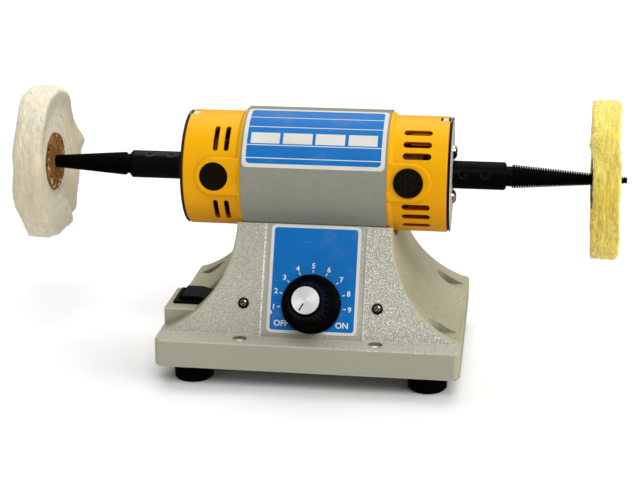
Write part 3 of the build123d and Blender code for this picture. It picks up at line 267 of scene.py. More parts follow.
def hammered_enamel():
    """Grey-green enamel: grain on the slopes with white specks painted as glints, stronger to the right where
    the light falls, finer on the ledge in front. Flanks and the level faces behind are smooth, with dark
    pits;
    painted shade darkens the front of the plinth, the flanks are darker and yellower, and a painted highlight
    lightens their upper part. Edges and the panel's step are rubbed bright and also painted as highlights,
    grime and painted shade lie in hollows, painted shadow rings the screws, and the two dimples hold painted
    shade and a painted glint."""
    p = Paint("hammered_enamel", Specular_IOR_Level=0.32)
    x, y, z = p.xyz()
    across, forward, upward = p.facing()
    slope = abs(forward).rise(0.80, 0.88) * upward.rise(0.15, 0.3)
    front = abs(forward).rise(0.93, 0.98) * upward.rise(0.15, 0.05)
    level = upward.rise(0.90, 0.97)
    ahead = y.rise(-54.0, -60.0)
    flank = abs(across).rise(0.15, 0.45).most(level * (1 - ahead))
    front_slope = slope * y.rise(0.0, -5.0)
    from_panel = abs(x - label_x) - panel_half_width
    panel = from_panel.rise(0.2, -0.4) * front_slope
    # The panel's step, rubbed bright and painted as a highlight, more so on the left
    step = abs(from_panel - 0.3).rise(0.8, 0.3) * front_slope * (0.35 + x.rise(5.0, -5.0) * 0.65)
    grainy = (slope + level * ahead * 0.6) * (1 - panel * 0.6)
    # Painted glints: the white specks grow stronger to the right, where the light falls
    glint_strength = 0.35 + x.rise(-25.0, 35.0) * 0.65
    grain = p.noise(0.6, 3.0, 0.65)
    glint_flakes = p.noise(0.6, 1.0).rise(0.55, 0.63) * grainy * glint_strength
    shades = p.noise(0.75, 2.0, 0.6).rise(0.48, 0.62) * grainy
    pits = p.cells(2.6).rise(0.24, 0.14) * p.noise(8.0).rise(0.47, 0.56)
    pits = pits * (1 - slope) * (flank * 0.8 + 0.2)
    # Rubbed bright edges, which also stand as painted highlights along them
    wear_and_highlight = p.edges(1.5) * p.noise(0.9).rise(0.34, 0.54)
    # Grime and painted shade in hollows, found by occlusion, more on the flanks
    dirt_and_shade = p.hollows(9.0) * (0.55 + flank * 0.6) + p.hollows(2.0) * 0.35
    # Distance from each front screw's rim, for a ring of painted shadow round it
    seat = from_front_screw(x, y, z) - front_screw_radius
    dx, dy = abs(x) - dimple_x, y - dimple_y
    from_middle = apart(dx, dy)
    dimple = (from_middle - dimple_radius).rise(0.15, -0.25) * abs(z - plinth_top).rise(2.0, 1.6)
    # Painted shade towards the rear rim of each dimple, and a painted glint in its middle
    crescent_shade = (dy + from_middle * 0.5).rise(1.3, 3.0)
    glint = (dx ** 2.0 * 0.3 + (dy - 0.3) ** 2.0).rise(1.8, 0.5)
    # Ground tone: painted shade darkens the front of the plinth, the flanks are darker and yellower, and a
    # painted highlight lightens their upper part
    ground = p.coats(
        p.mix(p.noise(38.0), (0.395, 0.39, 0.283), (0.445, 0.438, 0.325)),
        (front * 0.75, (0.29, 0.28, 0.18)),
        (flank * 0.8, (0.375, 0.354, 0.18)),
        (flank * z.rise(56.0, 70.0) * 0.6, (0.50, 0.47, 0.25)),
    )
    deep = p.mix(0.78, (0, 0, 0), ground)
    bright = p.mix(0.2, ground, (1, 1, 1))
    colour = p.coats(
        p.mix((grain - 0.5) * grainy * 1.5 + 0.5, deep, bright),
        (shades * 0.46, (0.20, 0.19, 0.13)),
        (panel * 0.25, (0.27, 0.265, 0.19)),
        # White specks painted as glints
        (glint_flakes * 0.85, (0.97, 0.97, 0.93)),
        (pits * 0.9, (0.05, 0.042, 0.022)),
        # Grime and painted shade in hollows
        (dirt_and_shade, (0.10, 0.088, 0.05)),
        # Painted shade and a painted glint in the two dimples
        (dimple * (0.2 + crescent_shade * 0.65), (0.05, 0.045, 0.025)),
        (dimple * glint, (0.95, 0.95, 0.90)),
        # Rubbed bright edges, also painted highlights
        (wear_and_highlight * (0.4 + grainy * 0.5), (0.88, 0.88, 0.80)),
        # Painted highlight along the panel's step, also rubbed
        (step * p.noise(0.9).rise(0.44, 0.54), (0.95, 0.95, 0.92)),
        # Painted shadow round the front screws
        (seat.rise(0.75, 0.3) * slope, (0.006, 0.005, 0.004)),
    )
    rough = 0.40 + grain * 0.18 + slope * 0.1 - glint_flakes * 0.25
    relief = grain * (0.2 + grainy * 0.8) + p.cells(1.0) * grainy * 0.5 - pits
    return p.finish(colour, rough, relief, 0.2, 0.5, 0.5)

def front_screw_steel():
    """Front screws: painted shade darkens the rim and the cross, warm bright steel between."""
    p = Paint("front_screw_steel", Metallic=0.8)
    rust = p.noise(1.3, 3.0, 0.6)
    rim = from_front_screw(*p.xyz()).rise(1.7, 2.3)
    colour = p.mix(rust.rise(0.35, 0.65), (0.10, 0.075, 0.045), (0.52, 0.46, 0.36))
    # Painted shade on the rim of the head and, found by occlusion, in the cross
    colour = p.mix(rim.most(p.hollows(1.5)), colour, (0.008, 0.007, 0.006))
    return p.finish(colour, 0.14 + rust * 0.15, rust, 0.04, 0.3, 0.2)

def satin_paint(name):
    """Grey-green paint on sheet steel: leathery skin in two sizes under a soft gloss, slow clouds of tone,
    darker below with painted shade."""
    p = Paint(name, Specular_IOR_Level=0.3)
    # Painted shade, growing from 8 to 34 mm below the axis
    under = (p.xyz()[2] - axis_height).rise(-8.0, -34.0)
    skin = p.noise(2.4, 2.0, 0.55)
    fine = p.noise(0.6, 2.0, 0.6)
    colour = p.coats(
        p.mix(p.noise(22.0, 3.0), (0.228, 0.232, 0.18), (0.268, 0.272, 0.214)),
        (skin.rise(0.35, 0.7) * 0.14, (0.36, 0.365, 0.30)),
        (under * 0.6, (0.16, 0.166, 0.132)),
    )
    return p.finish(colour, 0.34 + fine * 0.12 + skin * 0.06, skin * 0.7 + fine * 0.3, 0.14, 0.4, 0.3)

def yellow_enamel():
    """Golden yellow enamel on the caps: a painted highlight makes it paler on top and painted shade browner
    below, orange-peel gloss, grime in the corners, painted shade red-brown inside the vents and a black
    painted shadow round the shaft."""
    p = Paint("yellow_enamel", Specular_IOR_Level=0.3, Specular_Tint=(1.0, 0.62, 0.06), Coat_Roughness=0.25)
    x, y, z = p.xyz()
    out, height = from_axis(y, z), z - axis_height
    peel = p.noise(2.4, 2.0, 0.55)
    cloud = p.noise(26.0, 3.0)
    edge = p.edges(0.8)
    grime = edge * p.noise(6.0, 3.0).rise(0.42, 0.68)
    specks = p.cells(9.0).rise(0.06, 0.03)
    smudge = p.noise(17.0, 4.0, 0.6, bend=0.6).rise(0.52, 0.80)
    # Painted shade on the walls inside the vents
    inside = out.rise(cap_radius - 0.25, cap_radius - 0.7) * (cover_face - abs(x)).rise(0.15, 0.55)
    # Painted shadow on the hub round the shaft
    hub_shadow = out.rise(13.0, 11.5)
    colour = p.coats(
        p.mix(cloud, (0.74, 0.325, 0.003), (0.82, 0.385, 0.006)),
        # Painted highlight on top, painted shade below
        (height.rise(0.0, cap_radius) * 0.6, (0.90, 0.47, 0.003)),
        (height.rise(-4.0, -cap_radius) * 0.55, (0.52, 0.18, 0.002)),
        (edge * 0.30, (0.90, 0.50, 0.03)),
        (smudge * 0.16, (0.42, 0.22, 0.03)),
        (grime * 0.4, (0.40, 0.17, 0.02)),
        (specks * 0.5, (0.45, 0.20, 0.02)),
        # Painted shade inside the vents, then painted shadow round the shaft
        (inside, (0.36, 0.055, 0.002)),
        (hub_shadow, (0.012, 0.009, 0.006)),
    )
    p.set(Coat_Weight=cloud * 0.02)
    return p.finish(colour, 0.40 + peel * 0.12 + inside * 0.45, peel, 0.12, 0.3, 0.35)

def worn_print(p, field, rim, dull, bright, relief, strength, edge=0.0):
    """A printed sheet: blue where field is 1 and paper between dull and bright elsewhere, with scuffs, faint
    stains and a rubbed edge where rim, the signed distance to the outline, nears 0."""
    paper = p.mix(p.noise(9.0), dull, bright)
    blue = p.mix(p.noise(30.0), (0.003, 0.13, 0.43), (0.008, 0.17, 0.52))
    scuffs = p.noise(1.0, 3.0, 0.7, p.scaled(p.place, (0.05, 0.9, 0.9))).rise(0.66, 0.75)
    stains = p.noise(14.0, 3.0).rise(0.48, 0.75)
    colour = p.coats(
        p.mix(field, paper, blue),
        (scuffs * 0.22, (0.72, 0.76, 0.78)),
        (stains * 0.10, (0.30, 0.32, 0.30)),
        (rim.rise(-0.5, 0.0) * 0.35, (0.55, 0.56, 0.52)),
    )
    return p.finish(colour, 0.30 + p.noise(5.0, 3.0) * 0.2, relief, 0.05, strength, edge)

def front_print():
    """Front label: blue field in an off-white rim, a dial scale of ticks round the knob, a chip at the left
    edge."""
    p = Paint("front_print", Specular_IOR_Level=0.07)
    x, y, z = p.xyz()
    rise = up_slope(y, z)
    middle = (label_x, (label_low + label_high) / 2)
    half = (label_half_width, (label_high - label_low) / 2)
    rim = rounded(x, rise, middle, half, 3.0)
    field = rounded(x, rise, middle, (half[0] - label_rim, half[1] - label_rim), 2.0).rise(0.12, -0.12)
    across, up, radius = from_knob(x, rise)
    turn = across.calc("ARCTAN2", across, up) * (math.degrees(1.0) / dial_step)
    tick = abs(turn - turn.calc("ROUND", turn)) * radius * math.radians(dial_step)
    span = abs(turn).rise(dial_numbers / 2 - 0.2, dial_numbers / 2 - 0.3)
    band = radius.rise(tick_start - 0.1, tick_start + 0.1) * radius.rise(tick_end + 0.1, tick_end - 0.1)
    chip = apart(x - chip_x, rise - chip_rise) + p.noise(1.5) * 2.4
    inked = field * (1 - tick.rise(0.42, 0.28) * band * span) * chip.rise(2.5, 2.7)
    relief = p.noise(1.2) + field * 0.5
    return worn_print(p, inked, rim, (0.62, 0.63, 0.59), (0.74, 0.75, 0.71), relief, 0.3, 0.2)

def barrel_print():
    """Label round the barrel: blue field in an off-white rim, white rules and four bare boxes."""
    p = Paint("barrel_print", Specular_IOR_Level=0.12)
    x, y, z = p.xyz()
    around = round_axis(y, z, barrel_radius)
    degree = math.radians(1.0) * barrel_radius
    low, high, box_middle = 15.4 * degree, 84.0 * degree, 43.0 * degree
    half_length, box_half = 44.7, 3.8
    rim = rounded(x, around, (0.0, (low + high) / 2), (half_length, (high - low) / 2), 5.0)
    bare = [abs(around - angle * degree).rise(0.36, 0.2) for angle in (67.5, 55.0, 36.0, 24.0)]
    for first, last in ((-39.9, -21.7), (-19.6, -1.2), (0.7, 19.2), (21.4, 39.4)):
        box = rounded(x, around, ((first + last) / 2, box_middle), ((last - first) / 2, box_half), 0.3)
        bare.append(box.rise(0.12, -0.12))
    inked = rim.rise(-2.35, -2.6) * (1 - greatest(bare))
    return worn_print(p, inked, rim, (0.60, 0.60, 0.55), (0.72, 0.72, 0.67), p.noise(1.2), 0.25)

def plain_ink():
    """White print with thin spots."""
    p = Paint("white_ink", Specular_IOR_Level=0.4)
    thin = p.noise(0.8, 3.0, 0.6)
    colour = p.mix(thin.rise(0.35, 0.7), (0.84, 0.86, 0.86), (0.62, 0.68, 0.72))
    return p.finish(colour, 0.4 + thin * 0.2, thin, 0.02, 0.2)

def moulding(name, dark, pale, rough, grain, gloss=0.25, dust_and_shade=0.5):
    """Moulded plastic, rubber or carbon: fine grain, streaks of dust and rubbed pale edges that also paint
    highlights.
    """
    p = Paint(name, Specular_IOR_Level=gloss)
    fine = p.noise(grain, 3.0, 0.6)
    dust = p.noise(7.0, 4.0, 0.6).rise(0.45, 0.8)
    # Rubbed pale edges, which also paint highlights
    wear_and_highlight = p.edges(0.5) * p.noise(1.8).rise(0.35, 0.6)
    colour = p.mix(dust * dust_and_shade + wear_and_highlight * 0.5, dark, pale)
    return p.finish(colour, rough + fine * 0.15 - wear_and_highlight * 0.1, fine, 0.06, 0.35, 0.3)

def metal(name, dull, bright, rough, metallic=1.0, brush=0.0):
    """Bare or plated metal: cloudy tone, fine grain and scratches. Where brush is given, the grain runs round
    the motor axis, and the covers have a painted dark reflection on the rim and painted shadow on the ends
    of their tabs."""
    p = Paint(name, Metallic=metallic, Specular_IOR_Level=0.15)
    x, y, z = p.xyz()
    cloud = p.noise(6.0, 3.0, 0.6)
    if brush:
        out, behind = from_axis(y, z), cover_face - abs(x)
        fine = p.noise(1.0, 3.0, 0.7, p.joined(x * 4.0, out * brush))
    else:
        fine = p.noise(0.6, 3.0, 0.7, p.joined(x * 0.6, y * 2.0, z * 2.0))
    scratches = p.noise(1.0, 2.0, 0.6, p.joined(x * 0.3, y * 3.0, z * 0.25)).rise(0.62, 0.7)
    colour = p.mix(cloud * 0.7 + fine * 0.3, dull, bright)
    if brush:
        # Painted dark reflection on the rim of each cover, painted shadow on the ends of its tabs
        rim = out.rise(cover_radius - 0.9, cover_radius - 0.6) * behind.rise(1.35, 1.15)
        tab = out.rise(cap_radius - 0.7, cap_radius - 0.5) * behind.rise(1.45, 1.65)
        ends = behind.rise(3.75, 2.95).most(behind.rise(6.35, 6.95) * x.rise(-5.0, 5.0))
        dark = rim.most(tab * ends)
        colour = p.mix(dark, colour, (0.006, 0.006, 0.006))
        fine = fine + dark * 3.0
    return p.finish(colour, rough + cloud * 0.1 + fine * 0.12 + scratches * 0.12, fine, 0.02, 0.25, 0.15)

def dome_steel():
    """Polished dome heads: bright steel, the upper ones with a painted dark reflection in a band below
    the top light.
    """
    p = Paint("dome_screw_steel", Metallic=1.0)
    upward = p.facing()[2]
    upper = (p.xyz()[2] - axis_height).rise(-5.0, 5.0)
    cloud = p.noise(2.0, 3.0, 0.6)
    # Painted dark reflection in a band below the top light, on the upper heads only
    band = upward.rise(0.45, 0.2) * upward.rise(-0.75, -0.5) * upper
    colour = p.mix(cloud, (0.55, 0.55, 0.53), (0.80, 0.80, 0.78))
    colour = p.mix(band * 0.95, colour, (0.006, 0.006, 0.006))
    return p.finish(colour, 0.06 + cloud * 0.12, cloud, 0.02, 0.2, 0.15)

def black_oxide():
    """Oiled black steel of the spindles: near black, glossy on the sleeves, more so on the left, and grey
    where edges and hole rims are rubbed; this grey also paints highlights, on the hole rims more so on the
    left."""
    p = Paint("black_oxide", Specular_IOR_Level=0.03, Coat_Roughness=0.14)
    x, y, z = p.xyz()
    around = round_axis(y, z, sleeve_radius)
    away = [apart(x - middle, around - angle * sleeve_radius) for middle, angle in set_screws]
    # Hole rims, rubbed grey and painted as highlights
    rings = greatest([abs(distance - hole_rim).rise(0.55, 0.2) for distance in away])
    fine = p.noise(0.5, 3.0, 0.6)
    cloud = p.noise(5.0, 3.0)
    # Rubbed grey edges, also painted highlights
    rubbed = p.edges(0.35) * p.noise(1.5).rise(0.45, 0.7)
    sleeve = abs(x).rise(123.0, 121.0)
    left = x.rise(5.0, -5.0)
    colour = p.coats(
        p.mix(cloud, (0.0006, 0.0006, 0.0005), (0.002, 0.002, 0.0017)),
        # Rubbed grey on edges and hole rims, also painted highlights; the hole rims more so on the left
        (rubbed * (0.12 + sleeve * 0.75), (0.14, 0.13, 0.115)),
        (rings * (0.35 + cloud * 0.6) * (0.12 + left * 0.88), (0.085, 0.075, 0.062)),
    )
    p.set(Coat_Weight=sleeve * (0.06 + cloud * 0.2) * (0.1 + left * 0.9))
    return p.finish(colour, 0.40 + cloud * 0.15 + fine * 0.1, fine, 0.03, 0.25)

def spun_disc():
    """Bright disc in the knob: spun rings, a painted sheen that comes round twice, and a dark pointer line
    that starts at the dial's low end.
    """
    p = Paint("spun_disc", Metallic=0.5)
    x, y, z = p.xyz()
    across, up, radius = from_knob(x, up_slope(y, z))
    rings = p.noise(1.0, 3.0, 0.7, p.joined(radius * 5.0, 0.0))
    cloud = p.noise(4.0, 3.0)
    cosine, sine = math.cos(pointer_at_rest), math.sin(pointer_at_rest)
    along = across * sine + up * cosine
    pointer = abs(across * cosine - up * sine).rise(0.55, 0.4) * along.rise(2.2, 2.4) * along.rise(7.4, 7.2)
    # Painted sheen: a highlight that comes round the disc twice
    sheen = (up.calc("ARCTAN2", up, across) * 2.0 + 0.9).sine() * 0.5 + 0.5
    colour = p.mix(sheen ** 2.0 * 0.7 + cloud * 0.3, (0.62, 0.62, 0.62), (0.92, 0.92, 0.91))
    colour = p.mix(pointer, colour, (0.02, 0.02, 0.02))
    return p.finish(colour, 0.30 + rings * 0.2 + pointer * 0.3, rings, 0.02, 0.3)

def cotton(name, pale, deep, stain, soft=0.18, run=5.0, dust_and_shade=0.0, top_highlight=None):
    """Stitched cotton: woven faces, plies that show as streaks round the rim, soft stains and lint, smoother
    at the top. A small soft makes the streaks stand out, a large run makes them short, and dust_and_shade
    greys the faces under the lip of the rim with painted shade. Where a top_highlight colour is given, a
    painted highlight lifts the upper half towards it, most at the top, and painted shade deepens a band below
    the middle of the rim."""
    p = Paint(name, Sheen_Weight=0.25, Sheen_Roughness=0.6, Specular_IOR_Level=0.1)
    turn, section = p.uv()
    y, z = p.xyz()[1:]
    angle, height = turn * math.tau, z - axis_height
    from_rim = abs(section - 0.5)
    low, high = 0.5 - soft, 0.5 + soft
    round_it = p.joined(angle.sine() * run, (angle + math.pi / 2).sine() * run, section * 300.0)
    streaks = p.noise(1.0, 4.0, 0.7, round_it, 0.8)
    plies = p.noise(1.0, 2.0, 0.6, p.scaled(round_it, (0.7, 0.7, 0.16)), 0.4)
    cloud = p.noise(13.0, 3.0, 0.6)
    lint = p.noise(0.8, 3.0, 0.7, bend=1.2)
    weave = (y * 7.0).sine() * (z * 7.0).sine() * 0.5 + 0.5
    patch = p.noise(19.0, 3.0).rise(0.46, 0.68)
    upper = (angle - 0.2).sine().rise(-0.2, 0.8)
    # Painted shade on the faces under the lip of the rim, most towards the top
    lip = from_rim.rise(0.27, 0.14) * from_rim.rise(0.09, 0.12) * (0.3 + upper * 0.7)
    top = height.rise(30.0, 48.0)
    fluff = [(a + b) / 2 for a, b in zip(pale, (1.0, 0.98, 0.9))]
    colour = p.coats(
        p.mix(streaks.rise(low, high) * 0.7 + plies.rise(low, high) * 0.3, deep, pale),
        (patch * 0.5, stain),
        (cloud.rise(0.52, 0.8) * 0.3, deep),
        (lint.rise(0.55, 0.72) * 0.3, fluff),
    )
    # Painted highlight on the upper half, painted shade in a band below the middle
    if top_highlight:
        top_highlight_share = top * 0.3 + height.rise(-6.0, 26.0) * 0.2
        band = height.rise(14.0, -2.0) * height.rise(-34.0, -18.0) * from_rim.rise(0.16, 0.10)
        colour = p.coats(colour, (top_highlight_share, top_highlight), (band * 0.3, deep))
    # Painted shade under the lip
    colour = p.mix(lip * dust_and_shade, colour, (0.365, 0.32, 0.195))
    relief = streaks * 0.6 + plies * 0.7 + lint * 0.5 + weave * 0.12
    return p.finish(colour, 0.86 + lint * 0.12, relief * (1 - top * 0.6), 0.5, 0.55)

def rough_leather():
    """Reddish brown rough leather: crumbly grain, dark pores and pale torn fibres."""
    p = Paint("rough_leather", Specular_IOR_Level=0.2)
    crumbs = p.noise(1.5, 4.0, 0.75, bend=0.8)
    pores = p.cells(1.7).rise(0.35, 0.12)
    fibres = p.noise(0.7, 3.0, 0.7, bend=2.5).rise(0.60, 0.70)
    colour = p.coats(
        p.mix(crumbs.rise(0.40, 0.60), (0.02, 0.007, 0.002), (0.42, 0.17, 0.028)),
        (p.noise(3.5).rise(0.54, 0.66) * 0.75, (0.03, 0.011, 0.003)),
        (p.noise(7.0, 3.0).rise(0.52, 0.66) * 0.45, (0.50, 0.22, 0.05)),
        (pores * 0.6, (0.035, 0.014, 0.005)),
        (fibres * 0.5, (0.70, 0.45, 0.20)),
    )
    relief = crumbs * 0.7 + fibres * 0.3 - pores * 0.5
    return p.finish(colour, 0.82 + crumbs * 0.15, relief, 0.5, 0.7)

def windings():
    """Enamelled copper wire: strands side by side along the motor axis."""
    p = Paint("copper_wire", Metallic=0.4)
    y, z = p.xyz()[1:]
    strands = ((y + z) * 9.0).sine() * 0.5 + 0.5
    tone = p.noise(2.0, 3.0)
    colour = p.mix(strands * 0.6 + tone * 0.4, (0.36, 0.075, 0.006), (0.75, 0.22, 0.035))
    return p.finish(colour, 0.34 + tone * 0.2, strands, 0.2, 0.5)

def laminations():
    """Stacked steel sheets: fine rings square to the motor axis."""
    p = Paint("stacked_sheets", Metallic=0.7)
    sheets = (p.xyz()[0] * 12.0).sine() * 0.5 + 0.5
    tone = p.noise(4.0, 3.0)
    colour = p.mix(sheets * 0.5 + tone * 0.5, (0.10, 0.09, 0.085), (0.24, 0.23, 0.22))
    return p.finish(colour, 0.45 + tone * 0.2, sheets, 0.1, 0.4)

def circuit_board():
    """Green board with darker tracks."""
    p = Paint("circuit_board")
    tracks = p.cells(5.0, "DISTANCE_TO_EDGE").rise(0.02, 0.06)
    tone = p.noise(3.0)
    colour = p.mix(tracks * 0.7 + tone * 0.2, (0.03, 0.12, 0.05), (0.06, 0.25, 0.10))
    return p.finish(colour, 0.35 + tone * 0.2, tracks, 0.1, 0.4)

rubber = moulding("black_rubber", (0.0008, 0.0008, 0.0008), (0.004, 0.004, 0.0035), 0.62, 0.6, 0.03)
black_plastic = moulding("black_plastic", (0.0006, 0.0006, 0.0008), (0.005, 0.005, 0.0055), 0.26, 0.45, 0.07)
knob_plastic = moulding("knob_plastic", (0.0004, 0.0004, 0.0005), (0.003, 0.003, 0.0033), 0.34, 0.45, 0.03)
brown_plastic = moulding("brown_plastic", (0.006, 0.0025, 0.0006), (0.014, 0.007, 0.002), 0.30, 0.5, 0.10)
cap_plastic = moulding("cap_plastic", (0.006, 0.0025, 0.0006), (0.10, 0.078, 0.058), 0.24, 0.5, 0.16, 0.04)
fan_plastic = moulding("fan_plastic", (0.27, 0.085, 0.008), (0.44, 0.16, 0.02), 0.55, 0.6, 0.05)
carbon = moulding("pressed_carbon", (0.012, 0.012, 0.012), (0.05, 0.05, 0.05), 0.55, 0.8)
# The covers' near-white colour, with little metal in it, stands for their white reflections: a painted
# reflection
polished = metal("polished_cover", (0.84, 0.84, 0.82), (0.94, 0.94, 0.92), 0.10, 0.3, brush=3.0)
plated = metal("plated_steel", (0.46, 0.45, 0.42), (0.66, 0.65, 0.61), 0.26, 0.55)
turned_brass = metal("turned_brass", (0.50, 0.34, 0.12), (0.70, 0.50, 0.20), 0.28)
spindle_black = black_oxide()
leather = rough_leather()
white_cotton = cotton(
    "white_cotton", (0.75, 0.70, 0.55), (0.50, 0.42, 0.27), (0.66, 0.52, 0.27),
    run=7.0, dust_and_shade=0.85, top_highlight=(0.90, 0.865, 0.72),
)
yellow_cotton = cotton(
    "yellow_cotton", (0.99, 0.88, 0.20), (0.58, 0.35, 0.012), (0.95, 0.75, 0.09),
    soft=0.08, run=6.0, top_highlight=(0.92, 0.80, 0.21),
)
thread = cotton("stitch_thread", (0.34, 0.29, 0.20), (0.20, 0.16, 0.10), (0.27, 0.22, 0.14))
white_lint = cotton("white_lint", (0.86, 0.82, 0.68), (0.70, 0.63, 0.47), (0.74, 0.66, 0.48))
yellow_lint = cotton("yellow_lint", (0.98, 0.92, 0.46), (0.86, 0.72, 0.22), (0.90, 0.80, 0.34))

for paint, *names in (
    (hammered_enamel(), "base_casting"),
    (satin_paint("satin_barrel"), "motor_barrel"),
    (satin_paint("sheet_paint"), "bottom_plate"),
    (yellow_enamel(), "left_end_cap", "right_end_cap"),
    (front_print(), "front_label"),
    (barrel_print(), "top_label"),
    (rubber, "rubber_feet", "cord_grommet", "end_seals"),
    (knob_plastic, "speed_knob"),
    (black_plastic, "switch_housing", "switch_rocker", "board_components"),
    (fan_plastic, "cooling_fan"),
    (brown_plastic, "boss_plugs", "brush_holders"),
    (cap_plastic, "brush_caps"),
    (carbon, "carbon_brushes"),
    (polished, "left_end_plate", "right_end_plate"),
    (polished, "bearing_outer_rings", "bearing_inner_rings", "bearing_balls"),
    (plated, "board_screws", "pot_body", "pot_nut", "pot_shaft", "knob_grub_screw"),
    (plated, "saddle_bolts", "tie_bolts", "tie_nuts", "brush_springs", "motor_shaft"),
    (turned_brass, "board_spacers", "switch_terminals"),
    (spun_disc(), "knob_disc"),
    (windings(), "field_coils", "armature_winding", "commutator"),
    (laminations(), "stator_core", "armature_core"),
    (circuit_board(), "speed_board"),
):
    for name in names:
        nodes[name].data.materials.clear()
        nodes[name].data.materials.append(paint.material)

# Surfaces worked out on grids

def placed(name, data):
    """A new object in the scene, at the origin."""
    made = bpy.data.objects.new(name, data)
    bpy.context.scene.collection.objects.link(made)
    return made

def solid(name, points, faces, body, paint, maps=None, sharp=None):
    """One object from points in millimetres and faces: double points are merged and faces turned outwards.
    Where a sharp angle in degrees is given, edges that bend less are shaded smooth."""
    mesh = bpy.data.meshes.new(name)
    mesh.from_pydata((points * MM).tolist(), [], faces)
    if maps is not None:
        layer = mesh.uv_layers.new(name="along_piece")
        layer.data.foreach_set("uv", maps.ravel().astype(np.float32))
    merged = bmesh.new()
    merged.from_mesh(mesh)
    bmesh.ops.remove_doubles(merged, verts=merged.verts, dist=weld_distance * MM)
    bmesh.ops.recalc_face_normals(merged, faces=merged.faces)
    merged.to_mesh(mesh)
    merged.free()
    if sharp is not None:
        mesh.polygons.foreach_set("use_smooth", np.ones(len(mesh.polygons), bool))
        mesh.set_sharp_from_angle(angle=math.radians(sharp))
    mesh.materials.append(paint.material)
    made = placed(name, mesh)
    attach(made, body)
    return made

def piece(name, grids, body, paint, stands_for=(), sharp=40.0):
    """One object from grids of points in millimetres. Each grid comes with whether its rows and its columns
    close on themselves; four neighbours make a face, and the map runs along columns and rows from 0 to 1."""
    points, faces, maps = [], [], []
    start = 0
    for grid, wrap_rows, wrap_columns in grids:
        rows, columns = grid.shape[:2]
        bands, lanes = rows - (not wrap_rows), columns - (not wrap_columns)
        r, c = np.indices((bands, lanes)).reshape(2, -1)
        below, beside = (r + 1) % rows, (c + 1) % columns
        corners = [r * columns + c, r * columns + beside, below * columns + beside, below * columns + c]
        faces.append(start + np.stack(corners, 1))
        u = np.stack([c, c + 1, c + 1, c], 1) / lanes
        v = np.stack([r, r, r + 1, r + 1], 1) / bands
        maps.append(np.stack([u, v], 2))
        points.append(grid.reshape(-1, 3))
        start += rows * columns
    points, faces, maps = (np.concatenate(part) for part in (points, faces, maps))
    made = solid(name, points, faces.tolist(), body, paint, maps, sharp)
    if stands_for:
        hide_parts(*stands_for)
    return made

def about_axis(x, radius, angle):
    """Points about the motor axis: x along it, radius out from it, angle up from the front."""
    x, radius, angle = np.broadcast_arrays(x, radius, angle)
    return np.stack([x, -radius * np.cos(angle), axis_height + radius * np.sin(angle)], -1)

def on_slope(x, rise, height):
    """Points on the sloping front: x across, rise up the slope, height out of it."""
    x, rise, height = np.broadcast_arrays(x, rise, height)
    y = front_foot + rise * math.sin(lean) - height * math.cos(lean)
    z = plinth_top + rise * math.cos(lean) + height * math.sin(lean)
    return np.stack([x, y, z], -1)

def full_turn(count):
    return np.arange(count) * 2 * np.pi / count

def turned_from(angle, place):
    """How far an angle lies from a place, in radians, by the shorter way round."""
    return (angle - place + np.pi) % (2 * np.pi) - np.pi

def smooth(value, low, high):
    """S curve from 0 at low to 1 at high."""
    t = np.clip((value - low) / (high - low), 0, 1)
    return t * t * (3 - 2 * t)

def waves(angle, counts, seed):
    """Sum of sines round the axis with the given numbers of crests, each weaker as it is finer, with set
    random phases."""
    shifts = np.random.default_rng(seed).uniform(0, 2 * np.pi, len(counts))
    return sum(np.sin(n * angle + s) / (1 + 0.18 * n) for n, s in zip(counts, shifts))

def lumpy(shape, passes, seed):
    """Random heights of about -1 to 1 on a grid, softened by averaging each with its neighbours."""
    field = np.random.default_rng(seed).normal(size=shape)
    for _ in range(passes):
        beside = sum(np.roll(field, shift, axis) for axis in (0, 1) for shift in (1, -1))
        field = (beside + field) / 5
    return field / np.abs(field).max()

def stretched(points, count):
    """count points spread evenly along a chain of straight runs."""
    points = np.asarray(points, float)
    lengths = np.concatenate([[0], np.cumsum(np.hypot(*np.diff(points, axis=0).T))])
    places = np.linspace(0, lengths[-1], count)
    return np.interp(places, lengths, points[:, 0]), np.interp(places, lengths, points[:, 1])

# Spindles

def sleeve_grid(side, start):
    """Sleeve and neck: a profile turned about the axis, pressed in round the two set screws."""
    end, bore = start + sleeve_length, start + sleeve_bore_depth
    neck_end = end + neck_length + neck_overlap
    lead = [(bore, 0.0), (bore, sleeve_bore_radius), (start, sleeve_bore_radius)]
    lead.append((start, sleeve_radius - sleeve_lead))
    skirt = np.linspace(start + sleeve_lead, end - sleeve_chamfer, 120)
    skirt = np.stack([skirt, np.full_like(skirt, sleeve_radius)], 1)
    tail = [(end, sleeve_radius - sleeve_chamfer), (end, neck_radius)]
    tail += [(neck_end, neck_radius), (neck_end, 0.0)]
    x, radius = np.concatenate([lead, skirt, tail]).T[..., None]
    angle = full_turn(180)[None]
    pressed = 0.0
    for middle, screw_angle in set_screws:
        distance = np.hypot(side * x - middle, turned_from(angle, screw_angle) * sleeve_radius)
        pressed = np.maximum(pressed, hole_depth * smooth(distance, hole_radius, hole_floor))
    return about_axis(side * x, radius - pressed * (radius == sleeve_radius), angle)

